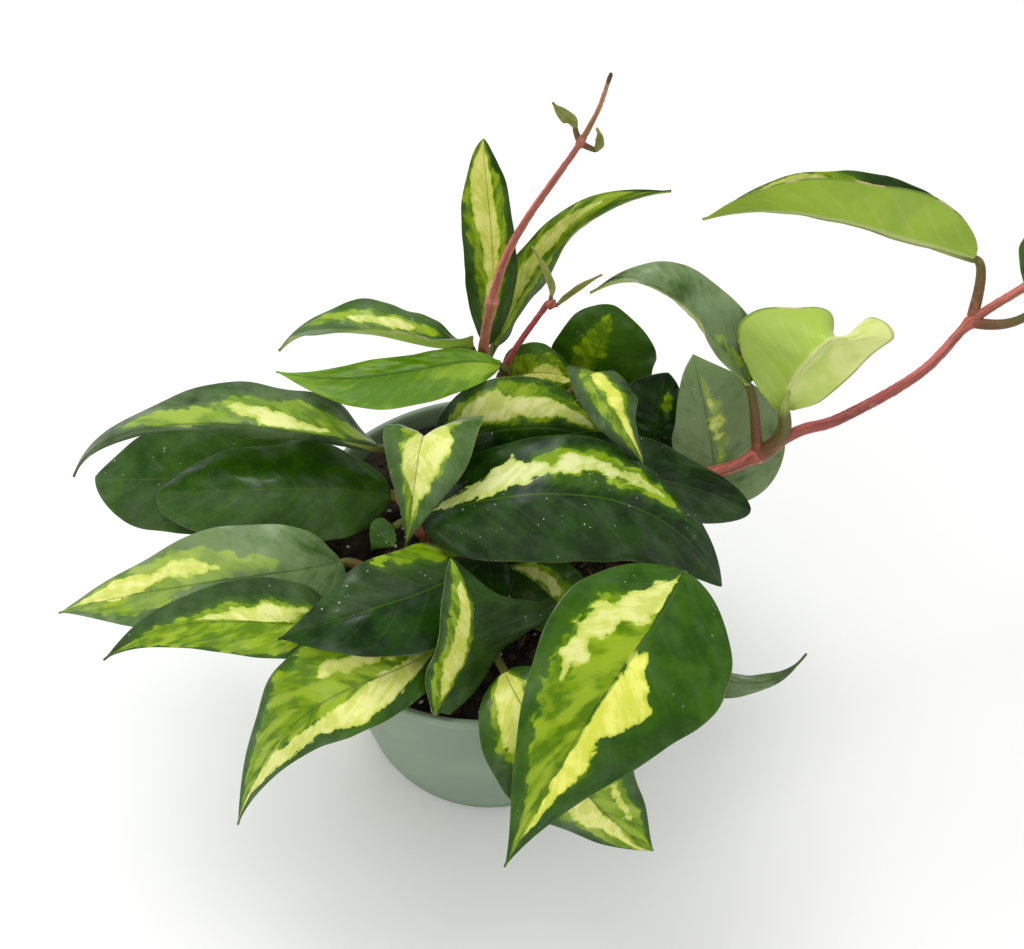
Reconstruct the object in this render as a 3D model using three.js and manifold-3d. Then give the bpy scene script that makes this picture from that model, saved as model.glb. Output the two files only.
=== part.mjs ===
// A variegated wax plant in a small round nursery pot.
// Millimetres, +Z up, origin at the centre of the pot's underside, which rests on the ground.
// The plant leans to the right (+X), and its front is the -Y side.

import * as THREE from 'three';
import { mergeVertices } from 'three/addons/utils/BufferGeometryUtils.js';
import Module from 'manifold-3d';

const wasm = await Module();
wasm.setup();

// Pot
const RIM_RADIUS = 54;
const POT_HEIGHT = 84;
const BASE_RADIUS = 37.9;
const WALL = 1.3;
const FLOOR = 1.6;
const FOOT_HEIGHT = 5;
const FOOT_STEP = 1.1;
const FOOT_DRAFT = 0.3;
const FOOT_EDGE = 0.6;
const BASE_EDGE = 1.2;
const COLLAR_DEPTH = 6.4;
const COLLAR_OVERHANG = 2.6;
const COLLAR_STEP = 1.5;
const COLLAR_EDGE = 0.8;
const LIP_DEPTH = 1.8;
const LIP_STEP = 0.7;
const LIP_EDGE = 0.4;
const LIP_INSIDE = 0.3;
const LEDGE_INSIDE = 1.1;
const POT_SEGMENTS = 40;
const DRAIN_HOLES = 8;
const DRAIN_RADIUS = 3.2;
const DRAIN_CIRCLE = 29;

// Soil
const GAP = 0.3;
const SOIL_TOP = 77;
const SOIL_LUMP = 1.1;
const SOIL_RINGS = 5;
const SOIL_SEGMENTS = 28;

// Stems and leaf stalks
const STEM_SIDES = 8;
const STEM_STEP = 9;
const NODE_SWELL = 1.34;
const NODE_REACH = 2.6;
const COLLAR_SWELL = 1.5;
const COLLAR_REACH = 4;
const COLLAR_START = 1.1;
const COLLAR_LIP = 0.9;
const STEM_TIP = 0.6;
const STALK_SIDES = 6;
const STALK_STEPS = 4;
const STALK_TAPER = 0.62;
const STALK_SINK = 4;

// Leaf blades
const EDGE_THICKNESS = 0.9;
const RIB_THICKNESS = 1.7;
const SMALL_THICKNESS = 0.3;
const ROOT_HALF_WIDTH = 1.4;
const TIP_HALF_WIDTH = 0.45;
const STATIONS = [0, 0.05, 0.15, 0.3, 0.46, 0.62, 0.78, 0.9, 1];
const ACROSS_BENT = [-1, -0.64, -0.3, 0, 0.3, 0.64, 1];
const ACROSS_FLAT = [-1, -0.5, 0, 0.5, 1];
const STRONG_CUP = -15;
const SHORTEST_EDGE = 0.02;
const TANGENT_STEP = 0.01;
const LENGTH_SAMPLES = 20;

// Colours
const LEAF_GREEN = 0x2f5a24;
const YOUNG_GREEN = 0x5fa01c;
const STEM_PINK = 0xb06058;
const POT_GREEN = 0x82938a;
const SOIL_BROWN = 0x2b211b;

// Stems: each runs through its points, from the soil up. Swellings sit at the points listed in nodes.
const STEMS = [
  { name: 'stem_tall', radii: [2.2, 0.7], nodes: [2, 6], collars: [3],
    points: [[-4, 38, 58], [-3, 38, 90], [-2, 36, 113], [2, 35, 145], [8, 36, 166], [21, 36, 192],
      [22.5, 34, 197], [26, 32, 208], [28, 27, 222]] },
  { name: 'stem_thin', radii: [1.5, 0.9], nodes: [2, 4],
    points: [[2, 32, 60], [4, 33, 90], [4, 34, 116], [15, 38, 138], [17, 37, 141], [18, 36, 144]] },
  { name: 'stem_right', radii: [2.3, 1.4], nodes: [4, 8], collars: [2],
    points: [[18, 12, 58], [24, 13, 80], [44, 17, 91], [64, 19, 94], [74, 20, 100], [84, 21, 109],
      [95, 23, 112], [116, 32, 120], [131, 46, 125], [141, 45, 139], [147, 44, 148], [151, 44, 157]] },
  { name: 'stem_centre', radii: [2, 1.4], nodes: [1, 2],
    points: [[-12, 6, 58], [-18, 4, 88], [-22, 6, 99], [-24, 9, 103]] },
  { name: 'stem_back', radii: [2, 1.4], nodes: [1, 2],
    points: [[10, 22, 58], [9, 27, 86], [10, 33, 98], [10, 35, 102]] },
  { name: 'stem_left', radii: [2, 1.4], nodes: [1, 2],
    points: [[-19, 14, 58], [-19, 16, 84], [-18, 21, 97], [-18, 24, 101]] },
  { name: 'stem_low_left', radii: [2, 1.4], nodes: [1, 2],
    points: [[-20, -6, 58], [-25, -10, 80], [-30, -12, 89], [-31, -12, 93]] },
  { name: 'stem_front', radii: [2, 1.4], nodes: [1, 2],
    points: [[0, -18, 58], [-1, -26, 80], [-3, -32, 87], [-4, -34, 90]] },
  { name: 'stem_middle', radii: [2, 1.4], nodes: [1, 2],
    points: [[2, 8, 58], [3, 3, 82], [6, -5, 93], [7, -8, 96]] },
  { name: 'stem_front_right', radii: [2.1, 1.5], nodes: [1, 2],
    points: [[22, -10, 58], [30, -12, 82], [44, -17, 96], [49, -19, 100]] },
];

// Leaves: rib holds four points along the midrib (at 0, 1/3, 2/3 and 1 of its length), face points out
// of the upper side at the root and at the tip, fold lifts the left and right half in degrees, and cup
// bends each half further towards its edge. A leaf that twists or curls has the points of its left and
// right margins instead, and bulge, how far each half swells towards the upper side.
const LEAVES = [
  { name: 'leaf_high_left', stem: 'stem_tall', at: 2, bow: 0, width: 21, fold: [84, -20],
    foldTip: [50, -10], cup: [0, 0], widest: 0.5,
    rib: [[-4, 37, 126], [-18, 32, 133], [-38, 35, 134], [-56, 40, 120]],
    face: [[0, -0.3, 1], [-0.2, -0.3, 1]] },
  { name: 'leaf_young_left', young: true, stem: 'stem_thin', at: 2, width: 19, halves: [1, 0.5],
    fold: [10, 10], cup: [-10, -10], widest: 0.58,
    rib: [[4, 32, 123], [-11, 29, 127], [-31, 30, 121], [-57, 36, 116]],
    face: [[0, -0.6, 0.8], [0, -0.6, 0.8]] },
  { name: 'leaf_upright', stem: 'stem_tall', at: 2, width: 16, halves: [1, 0.82], fold: [15, 15],
    cup: [0, 0], widest: 0.45, point: 0.68, stalk: 1.4,
    rib: [[0, 43, 119], [2, 52, 138], [1, 56, 159], [0, 58, 178]], face: [[0, -1, 0.3], [0, -1, 0.3]] },
  { name: 'leaf_swept_back', stem: 'stem_tall', at: 2, width: 27, halves: [0.55, 0.5], fold: [15, 45],
    foldTip: [15, 100], cup: [0, 0], rib: [[2, 53, 108], [13, 56, 132], [27, 56, 153], [48, 59, 160]],
    face: [[-0.3, -0.9, 0.4], [-0.2, -0.8, 0.6]] },
  { name: 'leaf_back_round', stem: 'stem_back', at: 2, width: 34, halves: [0.72, 1], fold: [5, 5],
    cup: [-10, -10], widest: 0.55, point: 0.6,
    rib: [[25, 37, 91], [28, 44, 103], [31, 44, 119], [35, 47, 130]],
    face: [[0, -0.9, 0.5], [0, -0.9, 0.5]] },
  { name: 'leaf_back_dark', stem: 'stem_right', at: 2, width: 27, halves: [1, 0.6], fold: [10, 10],
    cup: [0, 0], widest: 0.5, point: 0.7, rib: [[45, 28, 88], [47, 31, 96], [48, 36, 103], [50, 40, 111]],
    face: [[0, -0.9, 0.5], [0, -0.9, 0.5]] },
  { name: 'leaf_right_sheen', stem: 'stem_right', at: 2, width: 44, halves: [0.6, 1], fold: [40, 0],
    cup: [0, -10], widest: 0.35, base: 0.5, point: 0.9,
    rib: [[63, 17, 82], [63, 27, 92], [60, 34, 104], [57, 45, 113]],
    face: [[0.1, -0.7, 0.7], [0, -0.7, 0.7]] },
  { name: 'leaf_right_arm', stem: 'stem_right', at: 4, bow: 0.1, width: 30, halves: [0.95, 0.78],
    fold: [70, 5], cup: [0, 0], widest: 0.22, base: 0.4, point: 1.45,
    rib: [[70, 27, 121], [55, 38, 135], [42, 44, 142], [28, 50, 132]], face: [[0, -0.3, 1], [0, -0.3, 1]] },
  { name: 'leaf_right_curled', stem: 'stem_right', at: 4, via: [82, 20, 106], width: 30,
    rib: [[79, 23, 116], [82, 24, 130], [88, 26, 139], [91, 32, 129]],
    left: [[80, 23, 115], [86, 21, 121], [93, 25, 127], [101, 29, 131],
      [106, 33, 134], [100, 38, 135], [91, 32, 129]],
    right: [[79, 23, 115], [70, 26, 126], [66, 32, 135], [70, 36, 139],
      [80, 37, 140], [90, 37, 138], [91, 32, 129]], bulge: [1, 1], face: [[0, 0.6, -0.8], [0, -0.6, -0.8]] },
  { name: 'leaf_twisted', stem: 'stem_back', at: 2, via: [16, 30, 106], width: 18,
    rib: [[29, 29, 124], [28, 21, 128], [34, 12, 125], [41, 7, 113]],
    left: [[30, 29, 124], [32, 27, 126], [36, 22, 127], [39, 18, 126],
      [38, 14, 122], [40, 10, 118], [41, 7, 113]],
    right: [[28, 29, 124], [23, 27, 129], [23, 21, 128], [26, 16, 125],
      [29, 12, 123], [34, 10, 119], [41, 7, 113]], bulge: [0, 0], face: [[0, 0.4, 0.9], [0.4, -0.6, 0.7]] },
  { name: 'leaf_pale_back', stem: 'stem_thin', at: 1, bow: 0, width: 17, halves: [1, 0.8], fold: [10, 10],
    cup: [0, 0], rib: [[5, 42, 107], [11, 39, 112], [18, 38, 113], [25, 36, 112]],
    face: [[0, -0.7, 0.7], [0, -0.7, 0.7]] },
  { name: 'leaf_cream_arch', stem: 'stem_back', at: 1, width: 30, halves: [0.93, 1], fold: [0, 0],
    cup: [-10, -10], rib: [[-13, 22, 100], [3, 18, 113], [19, 17, 115], [34, 16, 109]],
    face: [[0, -0.8, 0.6], [0, -0.8, 0.6]] },
  { name: 'leaf_centre', stem: 'stem_centre', at: 2, width: 35, fold: [0, 0], cup: [-10, -25],
    rib: [[-17, -4, 104], [9, -8, 119], [38, -8, 114], [63, -13, 85]], face: [[0, -0.2, 1], [0.2, -0.2, 1]] },
  { name: 'leaf_under_centre', stem: 'stem_middle', at: 1, width: 38, halves: [0.7, 0.6], fold: [10, 0],
    cup: [0, -10], widest: 0.4, point: 0.9, rib: [[-1, 7, 105], [20, 4, 113], [44, 9, 104], [73, 11, 86]],
    face: [[0, -0.3, 1], [0.2, -0.3, 1]] },
  { name: 'leaf_bent', stem: 'stem_centre', at: 2, width: 34, halves: [1, 0.6], fold: [28, 28],
    cup: [-15, -15], widest: 0.34, point: 2.2,
    rib: [[-16, 15, 100], [-16, 8, 122], [-18, -4, 116], [-21, -11, 98]], face: [[0, 1, 1], [0, -0.6, 0.8]] },
  { name: 'leaf_left_long', stem: 'stem_left', at: 2, width: 34, halves: [0.7, 1], fold: [-70, -17],
    cup: [-60, 0], widest: 0.32, point: 1.5,
    rib: [[-29, 20, 104], [-54, 15, 117], [-89, 19, 113], [-115, 20, 90]],
    face: [[0, -0.2, 1], [0, -0.2, 1]] },
  { name: 'leaf_left_under', stem: 'stem_left', at: 1, via: [-30, 21, 83], width: 32, fold: [0, 0],
    cup: [0, 0], widest: 0.62, point: 0.7,
    rib: [[-43, 17, 88], [-64, 20, 91], [-88, 21, 88], [-113, 29, 78]],
    face: [[0, -0.4, 0.9], [0, -0.4, 0.9]] },
  { name: 'leaf_left_dark', stem: 'stem_left', at: 1, width: 30, fold: [0, 0], cup: [-20, -20],
    widest: 0.45, point: 0.45, rib: [[-26, 12, 92], [-44, 9, 99], [-65, 7, 101], [-90, 12, 93]],
    face: [[0, -0.3, 1], [0, -0.3, 1]] },
  { name: 'leaf_left_pale', stem: 'stem_low_left', at: 2, width: 29, fold: [5, 5], cup: [-15, -15],
    rib: [[-38, -11, 94], [-56, -20, 101], [-84, -20, 94], [-118, -12, 70]],
    face: [[0, -0.4, 0.9], [0, -0.4, 0.9]] },
  { name: 'leaf_left_low', stem: 'stem_low_left', at: 1, width: 23, halves: [0.76, 1], fold: [5, 5],
    cup: [-15, -15], rib: [[-36, -26, 93], [-49, -34, 100], [-73, -32, 97], [-101, -31, 77]],
    face: [[0, -0.4, 0.9], [0, -0.4, 0.9]] },
  { name: 'leaf_mid_dark', stem: 'stem_middle', at: 2, width: 30, halves: [1, 0.92], fold: [5, 5],
    cup: [-15, -15], rib: [[2, -8, 94], [-10, -25, 105], [-30, -37, 110], [-51, -39, 101]],
    face: [[0, -0.25, 1], [0, -0.4, 0.9]] },
  { name: 'leaf_front_left', stem: 'stem_front', at: 2, width: 31, halves: [0.66, 1], fold: [5, 5],
    cup: [-10, -10], rib: [[-11, -34, 90], [-28, -49, 98], [-48, -54, 84], [-68, -60, 38]],
    face: [[0, -0.4, 0.9], [-0.3, -0.6, 0.7]] },
  { name: 'leaf_folded', stem: 'stem_front', at: 1, via: [-11, -33, 84], width: 30,
    rib: [[-12, -52, 87], [-5, -43, 97], [-3, -36, 109], [-8, -27, 119]],
    left: [[-12, -53, 87], [-13, -50, 95], [-12, -47, 103], [-10, -42, 111],
      [-9, -37, 115], [-9, -32, 118], [-8, -27, 119]],
    right: [[-10, -52, 87], [-4, -46, 88], [3, -38, 91], [9, -33, 94],
      [16, -27, 97], [3, -29, 106], [-8, -27, 119]], bulge: [0, 0], face: [[0, -0.8, 0.6], [0, -0.8, 0.6]] },
  { name: 'leaf_front_big', stem: 'stem_front_right', at: 2, width: 47, halves: [1.03, 0.93], fold: [0, 0],
    cup: [-10, -10], widest: 0.38, rib: [[50, -26, 112], [38, -47, 112], [23, -63, 96], [5, -78, 52]],
    face: [[0, -0.4, 0.9], [0, -0.8, 0.5]] },
  { name: 'leaf_front_under', stem: 'stem_front', at: 1, width: 32, halves: [1, 1], fold: [5, 5],
    cup: [-10, -10], point: 1, rib: [[5, -42, 90], [15, -58, 84], [29, -62, 56], [46, -64, 30]],
    face: [[0, -0.6, 0.8], [0, -0.8, 0.5]] },
  { name: 'leaf_right_low', stem: 'stem_front_right', at: 2, width: 13, halves: [1, 0.8], fold: [-25, -60],
    cup: [0, 0], widest: 0.35, point: 1.6,
    rib: [[40, -40, 92], [54, -43, 91], [69, -43, 86], [84, -32, 82]], face: [[0, 0, 1], [0, 0, 1]] },
  { name: 'leaf_inner', stem: 'stem_front_right', at: 1, width: 20, fold: [10, 10], cup: [0, 0],
    rib: [[24, -22, 82], [18, -19, 88], [12, -14, 90], [5, -9, 88]], face: [[0, -0.5, 0.9], [0, -0.5, 0.9]] },
  { name: 'leaf_far_arch', stem: 'stem_right', at: 8, bow: 0.25, width: 31, halves: [0.92, 0.5],
    fold: [108, 50], foldTip: [80, 45], cup: [0, 0], widest: 0.36,
    rib: [[131, 57, 139], [103, 56, 149], [80, 61, 151], [59, 71, 139]], face: [[0, 0, 1], [0, 0, 1]] },
  { name: 'leaf_far_right', stem: 'stem_right', at: 8, width: 26, fold: [10, 10], cup: [0, -10],
    rib: [[146, 44, 132], [154, 54, 138], [160, 69, 142], [164, 86, 140]],
    face: [[0, -0.5, 0.9], [0, -0.2, 1]] },
  { name: 'leaf_inner_small', stem: 'stem_centre', at: 1, width: 9, fold: [0, 0], cup: [0, 0],
    rib: [[-25, 1, 93], [-27, 0, 92], [-29, -1, 90], [-31, -2, 86]], face: [[0, -0.4, 0.9], [0, -0.4, 0.9]] },
  { name: 'leaf_back_low', stem: 'stem_back', at: 2, via: [9, 43, 93], width: 22, fold: [5, 5],
    cup: [-10, -10], rib: [[12, 45, 90], [18, 56, 89], [25, 67, 80], [32, 77, 64]],
    face: [[0, 0.4, 0.9], [0.2, 0.6, 0.8]] },
  { name: 'leaf_back_right', stem: 'stem_back', at: 1, width: 24, fold: [5, 5], cup: [-10, -10],
    rib: [[30, 42, 86], [43, 47, 88], [54, 53, 82], [64, 57, 68]], face: [[0, 0.4, 0.9], [0.2, 0.6, 0.8]] },
];

// Young leaflets and buds, each fused to its stem where at counts the stem's points.
const LEAFLETS = [
  { stem: 'stem_tall', at: 6, bow: 0.1, width: 3.4, fold: [12, 12], cup: [0, 0], stalk: 0.8,
    rib: [[21, 36, 200], [20, 35, 203], [18, 35, 205], [16, 36, 207]],
    face: [[-0.5, -0.8, 0.3], [0, -0.9, 0.4]] },
  { stem: 'stem_tall', at: 6, bow: 0.1, width: 2.6, fold: [12, 12], cup: [0, 0], stalk: 0.8,
    rib: [[26, 34, 195], [27, 34, 197], [27, 34, 199], [26, 33, 202]],
    face: [[-0.6, -0.6, 0.5], [-0.6, -0.6, 0.5]] },
  { stem: 'stem_thin', at: 4, bow: 0.1, width: 3, fold: [12, 12], cup: [0, 0], stalk: 0.8,
    rib: [[17, 38, 143], [17, 39, 147], [15, 40, 152], [12, 41, 158]],
    face: [[-0.3, -0.9, 0.3], [-0.3, -0.9, 0.3]] },
  { stem: 'stem_thin', at: 4, bow: 0.1, width: 3, fold: [12, 12], cup: [0, 0], stalk: 0.8,
    rib: [[19, 39, 139], [22, 40, 142], [26, 39, 147], [30, 39, 150]],
    face: [[0, -0.9, 0.4], [0, -0.9, 0.4]] },
  { stem: 'stem_right', at: 10, bow: 0.1, width: 6, fold: [25, 25], cup: [0, 0], stalk: 1,
    rib: [[148, 45, 158], [147, 47, 163], [146, 50, 168], [144, 52, 173]],
    face: [[0.4, -0.9, 0.2], [0.4, -0.9, 0.2]] },
  { stem: 'stem_right', at: 10, bow: 0.1, width: 6, fold: [25, 25], cup: [0, 0], stalk: 1,
    rib: [[153, 45, 158], [155, 46, 162], [158, 48, 166], [160, 51, 170]],
    face: [[-0.4, -0.9, 0.2], [-0.4, -0.9, 0.2]] },
];

// A ring of points for each station becomes a closed skin with a flat cap at each end. Both halves of
// a ring split their squares alike, so a thin waved blade never crosses itself.
function loft(rings) {
  const count = rings[0].length;
  const half = count / 2;
  const index = [];
  const triangle = (a, b, c) => index.push(a, b, c);
  for (let i = 0; i < rings.length - 1; i += 1) {
    for (let k = 0; k < count; k += 1) {
      const next = (k + 1) % count;
      const a = i * count + k;
      const b = i * count + next;
      const c = (i + 1) * count + next;
      const d = (i + 1) * count + k;
      if (k < half) {
        triangle(a, b, c);
        triangle(a, c, d);
      } else {
        triangle(a, b, d);
        triangle(b, c, d);
      }
    }
  }
  const last = (rings.length - 1) * count;
  for (let k = 0; k < half - 1; k += 1) {
    triangle(k, count - 2 - k, k + 1);
    triangle(k, count - 1 - k, count - 2 - k);
    triangle(last + k, last + k + 1, last + count - 2 - k);
    triangle(last + k, last + count - 2 - k, last + count - 1 - k);
  }
  const geometry = new THREE.BufferGeometry().setFromPoints(rings.flat());
  geometry.setIndex(index);
  return geometry;
}

// A tube along a curve, with a radius of its own at each station; a station is a share of the length.
function tube(curve, stations, radii, sides) {
  let side = new THREE.Vector3(0.3, 1, 0.1);
  const rings = stations.map((station, i) => {
    const centre = curve.getPointAt(station);
    const along = curve.getTangentAt(station);
    side = side.clone().addScaledVector(along, -side.dot(along)).normalize();
    const across = new THREE.Vector3().crossVectors(along, side);
    return Array.from({ length: sides }, (_, k) => {
      const turn = (2 * Math.PI * k) / sides;
      return centre.clone()
        .addScaledVector(side, radii[i] * Math.cos(turn))
        .addScaledVector(across, radii[i] * Math.sin(turn));
    });
  });
  return loft(rings);
}

function solid(geometry) {
  const bare = geometry.clone();
  bare.deleteAttribute('normal');
  bare.deleteAttribute('uv');
  const merged = mergeVertices(bare);
  return new wasm.Manifold(new wasm.Mesh({
    numProp: 3,
    vertProperties: new Float32Array(merged.attributes.position.array),
    triVerts: new Uint32Array(merged.index.array),
  }));
}

// A cut can leave a loose chip, which is dropped, and edges too short to matter, which are closed up.
function cleaned(body) {
  const main = body.decompose().reduce((best, part) => (part.volume() > best.volume() ? part : best));
  return main.simplify(SHORTEST_EDGE);
}

function geometryOf(body) {
  const mesh = body.getMesh();
  const geometry = new THREE.BufferGeometry();
  geometry.setAttribute('position', new THREE.BufferAttribute(mesh.vertProperties, mesh.numProp));
  geometry.setIndex(new THREE.BufferAttribute(mesh.triVerts, 1));
  return geometry;
}

function piece(name, body, colour, roughness) {
  const material = new THREE.MeshStandardMaterial({ color: colour, roughness, metalness: 0 });
  const mesh = new THREE.Mesh(geometryOf(body), material);
  mesh.name = name;
  return mesh;
}

const vector = (point) => new THREE.Vector3(...point);

// Stems
function stemCurve(stem) {
  return new THREE.CatmullRomCurve3(stem.points.map(vector), false, 'catmullrom', 0.5);
}

// Stations along a stem as [millimetres from its foot, swelling]: even steps, and more at each node.
function stemStations(stem, curve) {
  const lengths = curve.getLengths((stem.points.length - 1) * LENGTH_SAMPLES);
  const full = lengths.at(-1);
  const marks = [[0, 1], [full, STEM_TIP]];
  const add = (at, swell) => marks.push([at, swell]);
  for (const node of stem.nodes) {
    const at = lengths[node * LENGTH_SAMPLES];
    const steps = [[-NODE_REACH, 1], [0, NODE_SWELL], [NODE_REACH, 1]];
    steps.forEach(([shift, swell]) => add(at + shift, swell));
  }
  for (const collar of stem.collars ?? []) {
    const at = lengths[collar * LENGTH_SAMPLES];
    const steps = [[-COLLAR_REACH, COLLAR_START], [0, COLLAR_SWELL], [COLLAR_LIP, 1]];
    steps.forEach(([shift, swell]) => add(at + shift, swell));
  }
  const kept = marks.length;
  for (let at = STEM_STEP; at < full; at += STEM_STEP) {
    if (marks.slice(0, kept).every(([other]) => Math.abs(other - at) > STEM_STEP / 2)) {
      marks.push([at, 1]);
    }
  }
  const inside = marks.filter(([at]) => at === full || at < full - 0.5);
  return inside.sort((first, second) => first[0] - second[0]);
}

function stemBody(stem, extra) {
  const curve = stemCurve(stem);
  const full = curve.getLengths((stem.points.length - 1) * LENGTH_SAMPLES).at(-1);
  const marks = stemStations(stem, curve);
  const [lowest, highest] = stem.radii;
  const stations = marks.map(([at]) => at / full);
  const radii = marks.map(([at, swell]) => THREE.MathUtils.lerp(lowest, highest, at / full) * swell + extra);
  return solid(tube(curve, stations, radii, STEM_SIDES));
}

// Leaf blades
function ribPoint(rib, u) {
  const weights = [
    ((1 - 3 * u) * (2 - 3 * u) * (1 - u)) / 2,
    (9 * u * (1 - u) * (2 - 3 * u)) / 2,
    (9 * u * (1 - u) * (3 * u - 1)) / 2,
    (u * (3 * u - 1) * (3 * u - 2)) / 2,
  ];
  const point = new THREE.Vector3();
  rib.forEach((corner, i) => point.addScaledVector(vector(corner), weights[i]));
  return point;
}

function ribTangent(rib, u) {
  return ribPoint(rib, u + TANGENT_STEP).sub(ribPoint(rib, u - TANGENT_STEP)).normalize();
}

function ribFrame(leaf, u) {
  const along = ribTangent(leaf.rib, u);
  const up = vector(leaf.face[0]).normalize().lerp(vector(leaf.face[1]).normalize(), u);
  up.addScaledVector(along, -up.dot(along)).normalize();
  const right = new THREE.Vector3().crossVectors(along, up);
  return { centre: ribPoint(leaf.rib, u), along, up, right };
}

// Share of the widest half-width at a station: blunt at the stalk and drawn out to a point at the tip.
function outline(u, widest, base, point) {
  if (u < widest) {
    return (1 - ((widest - u) / widest) ** 2.2) ** base;
  }
  const past = (u - widest) / (1 - widest);
  return (1 - past ** 1.9) ** point;
}

// Place and lean of a point across a half: the half's angle starts at fold and changes by cup.
function acrossHalf(reach, fold, cup, share) {
  const start = THREE.MathUtils.degToRad(fold);
  const bend = THREE.MathUtils.degToRad(cup) || 1e-6;
  const lean = start + bend * share;
  return {
    out: (reach * (Math.sin(lean) - Math.sin(start))) / bend,
    rise: (reach * (Math.cos(start) - Math.cos(lean))) / bend,
    lean,
  };
}

// Where a leaf twists or curls, its two margins are rows of points from the stalk to the tip.
function marginRing(leaf, u) {
  const { centre, along, right } = ribFrame(leaf, u);
  const least = THREE.MathUtils.lerp(ROOT_HALF_WIDTH, TIP_HALF_WIDTH, u);
  const halves = [leaf.left, leaf.right].map((points, side) => {
    const sign = side === 0 ? -1 : 1;
    const margin = new THREE.CatmullRomCurve3(points.map(vector), false, 'catmullrom', 0.5).getPoint(u);
    const reach = margin.sub(centre).addScaledVector(right, sign * least);
    const normal = new THREE.Vector3().crossVectors(reach, along).multiplyScalar(sign).normalize();
    return { reach, normal, bulge: leaf.bulge[side] };
  });
  const top = [];
  const bottom = [];
  for (const s of ACROSS_FLAT) {
    const half = halves[s < 0 ? 0 : 1];
    const share = Math.abs(s);
    const normal = s === 0 ? halves[0].normal.clone().add(halves[1].normal).normalize() : half.normal;
    const middle = centre.clone()
      .addScaledVector(half.reach, share)
      .addScaledVector(half.normal, 4 * half.bulge * share * (1 - share));
    const thickness = THREE.MathUtils.lerp(RIB_THICKNESS, EDGE_THICKNESS, share ** 0.6);
    top.push(middle.clone().addScaledVector(normal, thickness / 2));
    bottom.unshift(middle.clone().addScaledVector(normal, -thickness / 2));
  }
  return [...top, ...bottom];
}

function bladeRing(leaf, u) {
  if (leaf.left) {
    return marginRing(leaf, u);
  }
  const { centre, up, right } = ribFrame(leaf, u);
  const share = outline(u, leaf.widest ?? 0.42, leaf.base ?? 0.6, leaf.point ?? 1.25);
  const least = THREE.MathUtils.lerp(Math.min(ROOT_HALF_WIDTH, leaf.width / 4), TIP_HALF_WIDTH, u);
  const wave = leaf.wave ?? [0, 1, 0];
  const atRib = Math.min(RIB_THICKNESS, SMALL_THICKNESS * leaf.width);
  const top = [];
  const bottom = [];
  const across = leaf.cup.some((bend) => bend < STRONG_CUP) ? ACROSS_BENT : ACROSS_FLAT;
  for (const s of across) {
    const side = s < 0 ? 0 : 1;
    const sign = s < 0 ? -1 : 1;
    const halfWidth = Math.max((leaf.width / 2) * share * (leaf.halves ?? [1, 1])[side], least);
    const fold = THREE.MathUtils.lerp(leaf.fold[side], (leaf.foldTip ?? leaf.fold)[side], u);
    const place = acrossHalf(halfWidth, fold, leaf.cup[side], Math.abs(s));
    const ripple = wave[0] * s * s * share * Math.sin(2 * Math.PI * (wave[1] * u + wave[2] * sign));
    const middle = centre.clone()
      .addScaledVector(right, sign * place.out)
      .addScaledVector(up, place.rise + ripple);
    const lean = s === 0 ? 0 : place.lean;
    const normal = up.clone().multiplyScalar(Math.cos(lean)).addScaledVector(right, -sign * Math.sin(lean));
    const thickness = THREE.MathUtils.lerp(atRib, Math.min(atRib, EDGE_THICKNESS), Math.abs(s) ** 0.6);
    top.push(middle.clone().addScaledVector(normal, thickness / 2));
    bottom.unshift(middle.clone().addScaledVector(normal, -thickness / 2));
  }
  return [...top, ...bottom];
}

function bladeBody(leaf) {
  return solid(loft(STATIONS.map((u) => bladeRing(leaf, u))));
}

// The stalk leaves its stem's node and runs into the underside of the blade along the rib.
function stalkBody(leaf, start) {
  const root = vector(leaf.rib[0]);
  const along = ribTangent(leaf.rib, 0);
  const bowed = root.clone().addScaledVector(along, -(leaf.bow ?? 0.5) * root.distanceTo(start));
  const handle = leaf.via ? vector(leaf.via) : bowed;
  const end = root.clone().addScaledVector(along, Math.min(STALK_SINK, leaf.width / 4));
  const curve = new THREE.QuadraticBezierCurve3(start, handle, end);
  const thick = leaf.stalk ?? 1.6;
  const stations = Array.from({ length: STALK_STEPS + 1 }, (_, i) => i / STALK_STEPS);
  const radii = stations.map((station) => thick * THREE.MathUtils.lerp(1, STALK_TAPER, station));
  return solid(tube(curve, stations, radii, STALK_SIDES));
}

function leafBody(leaf) {
  const stem = STEMS.find((candidate) => candidate.name === leaf.stem);
  return bladeBody(leaf).add(stalkBody(leaf, vector(stem.points[leaf.at])));
}

function stemPiece(stem) {
  const leaflets = LEAFLETS.filter((leaflet) => leaflet.stem === stem.name);
  const body = leaflets.reduce((sum, leaflet) => sum.add(leafBody(leaflet)), stemBody(stem, 0));
  return piece(stem.name, cleaned(body), STEM_PINK, 0.5);
}

function leafPiece(leaf) {
  const stem = STEMS.find((candidate) => candidate.name === leaf.stem);
  const body = cleaned(leafBody(leaf).subtract(stemBody(stem, GAP)));
  return piece(leaf.name, body, leaf.young ? YOUNG_GREEN : LEAF_GREEN, 0.45);
}

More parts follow.
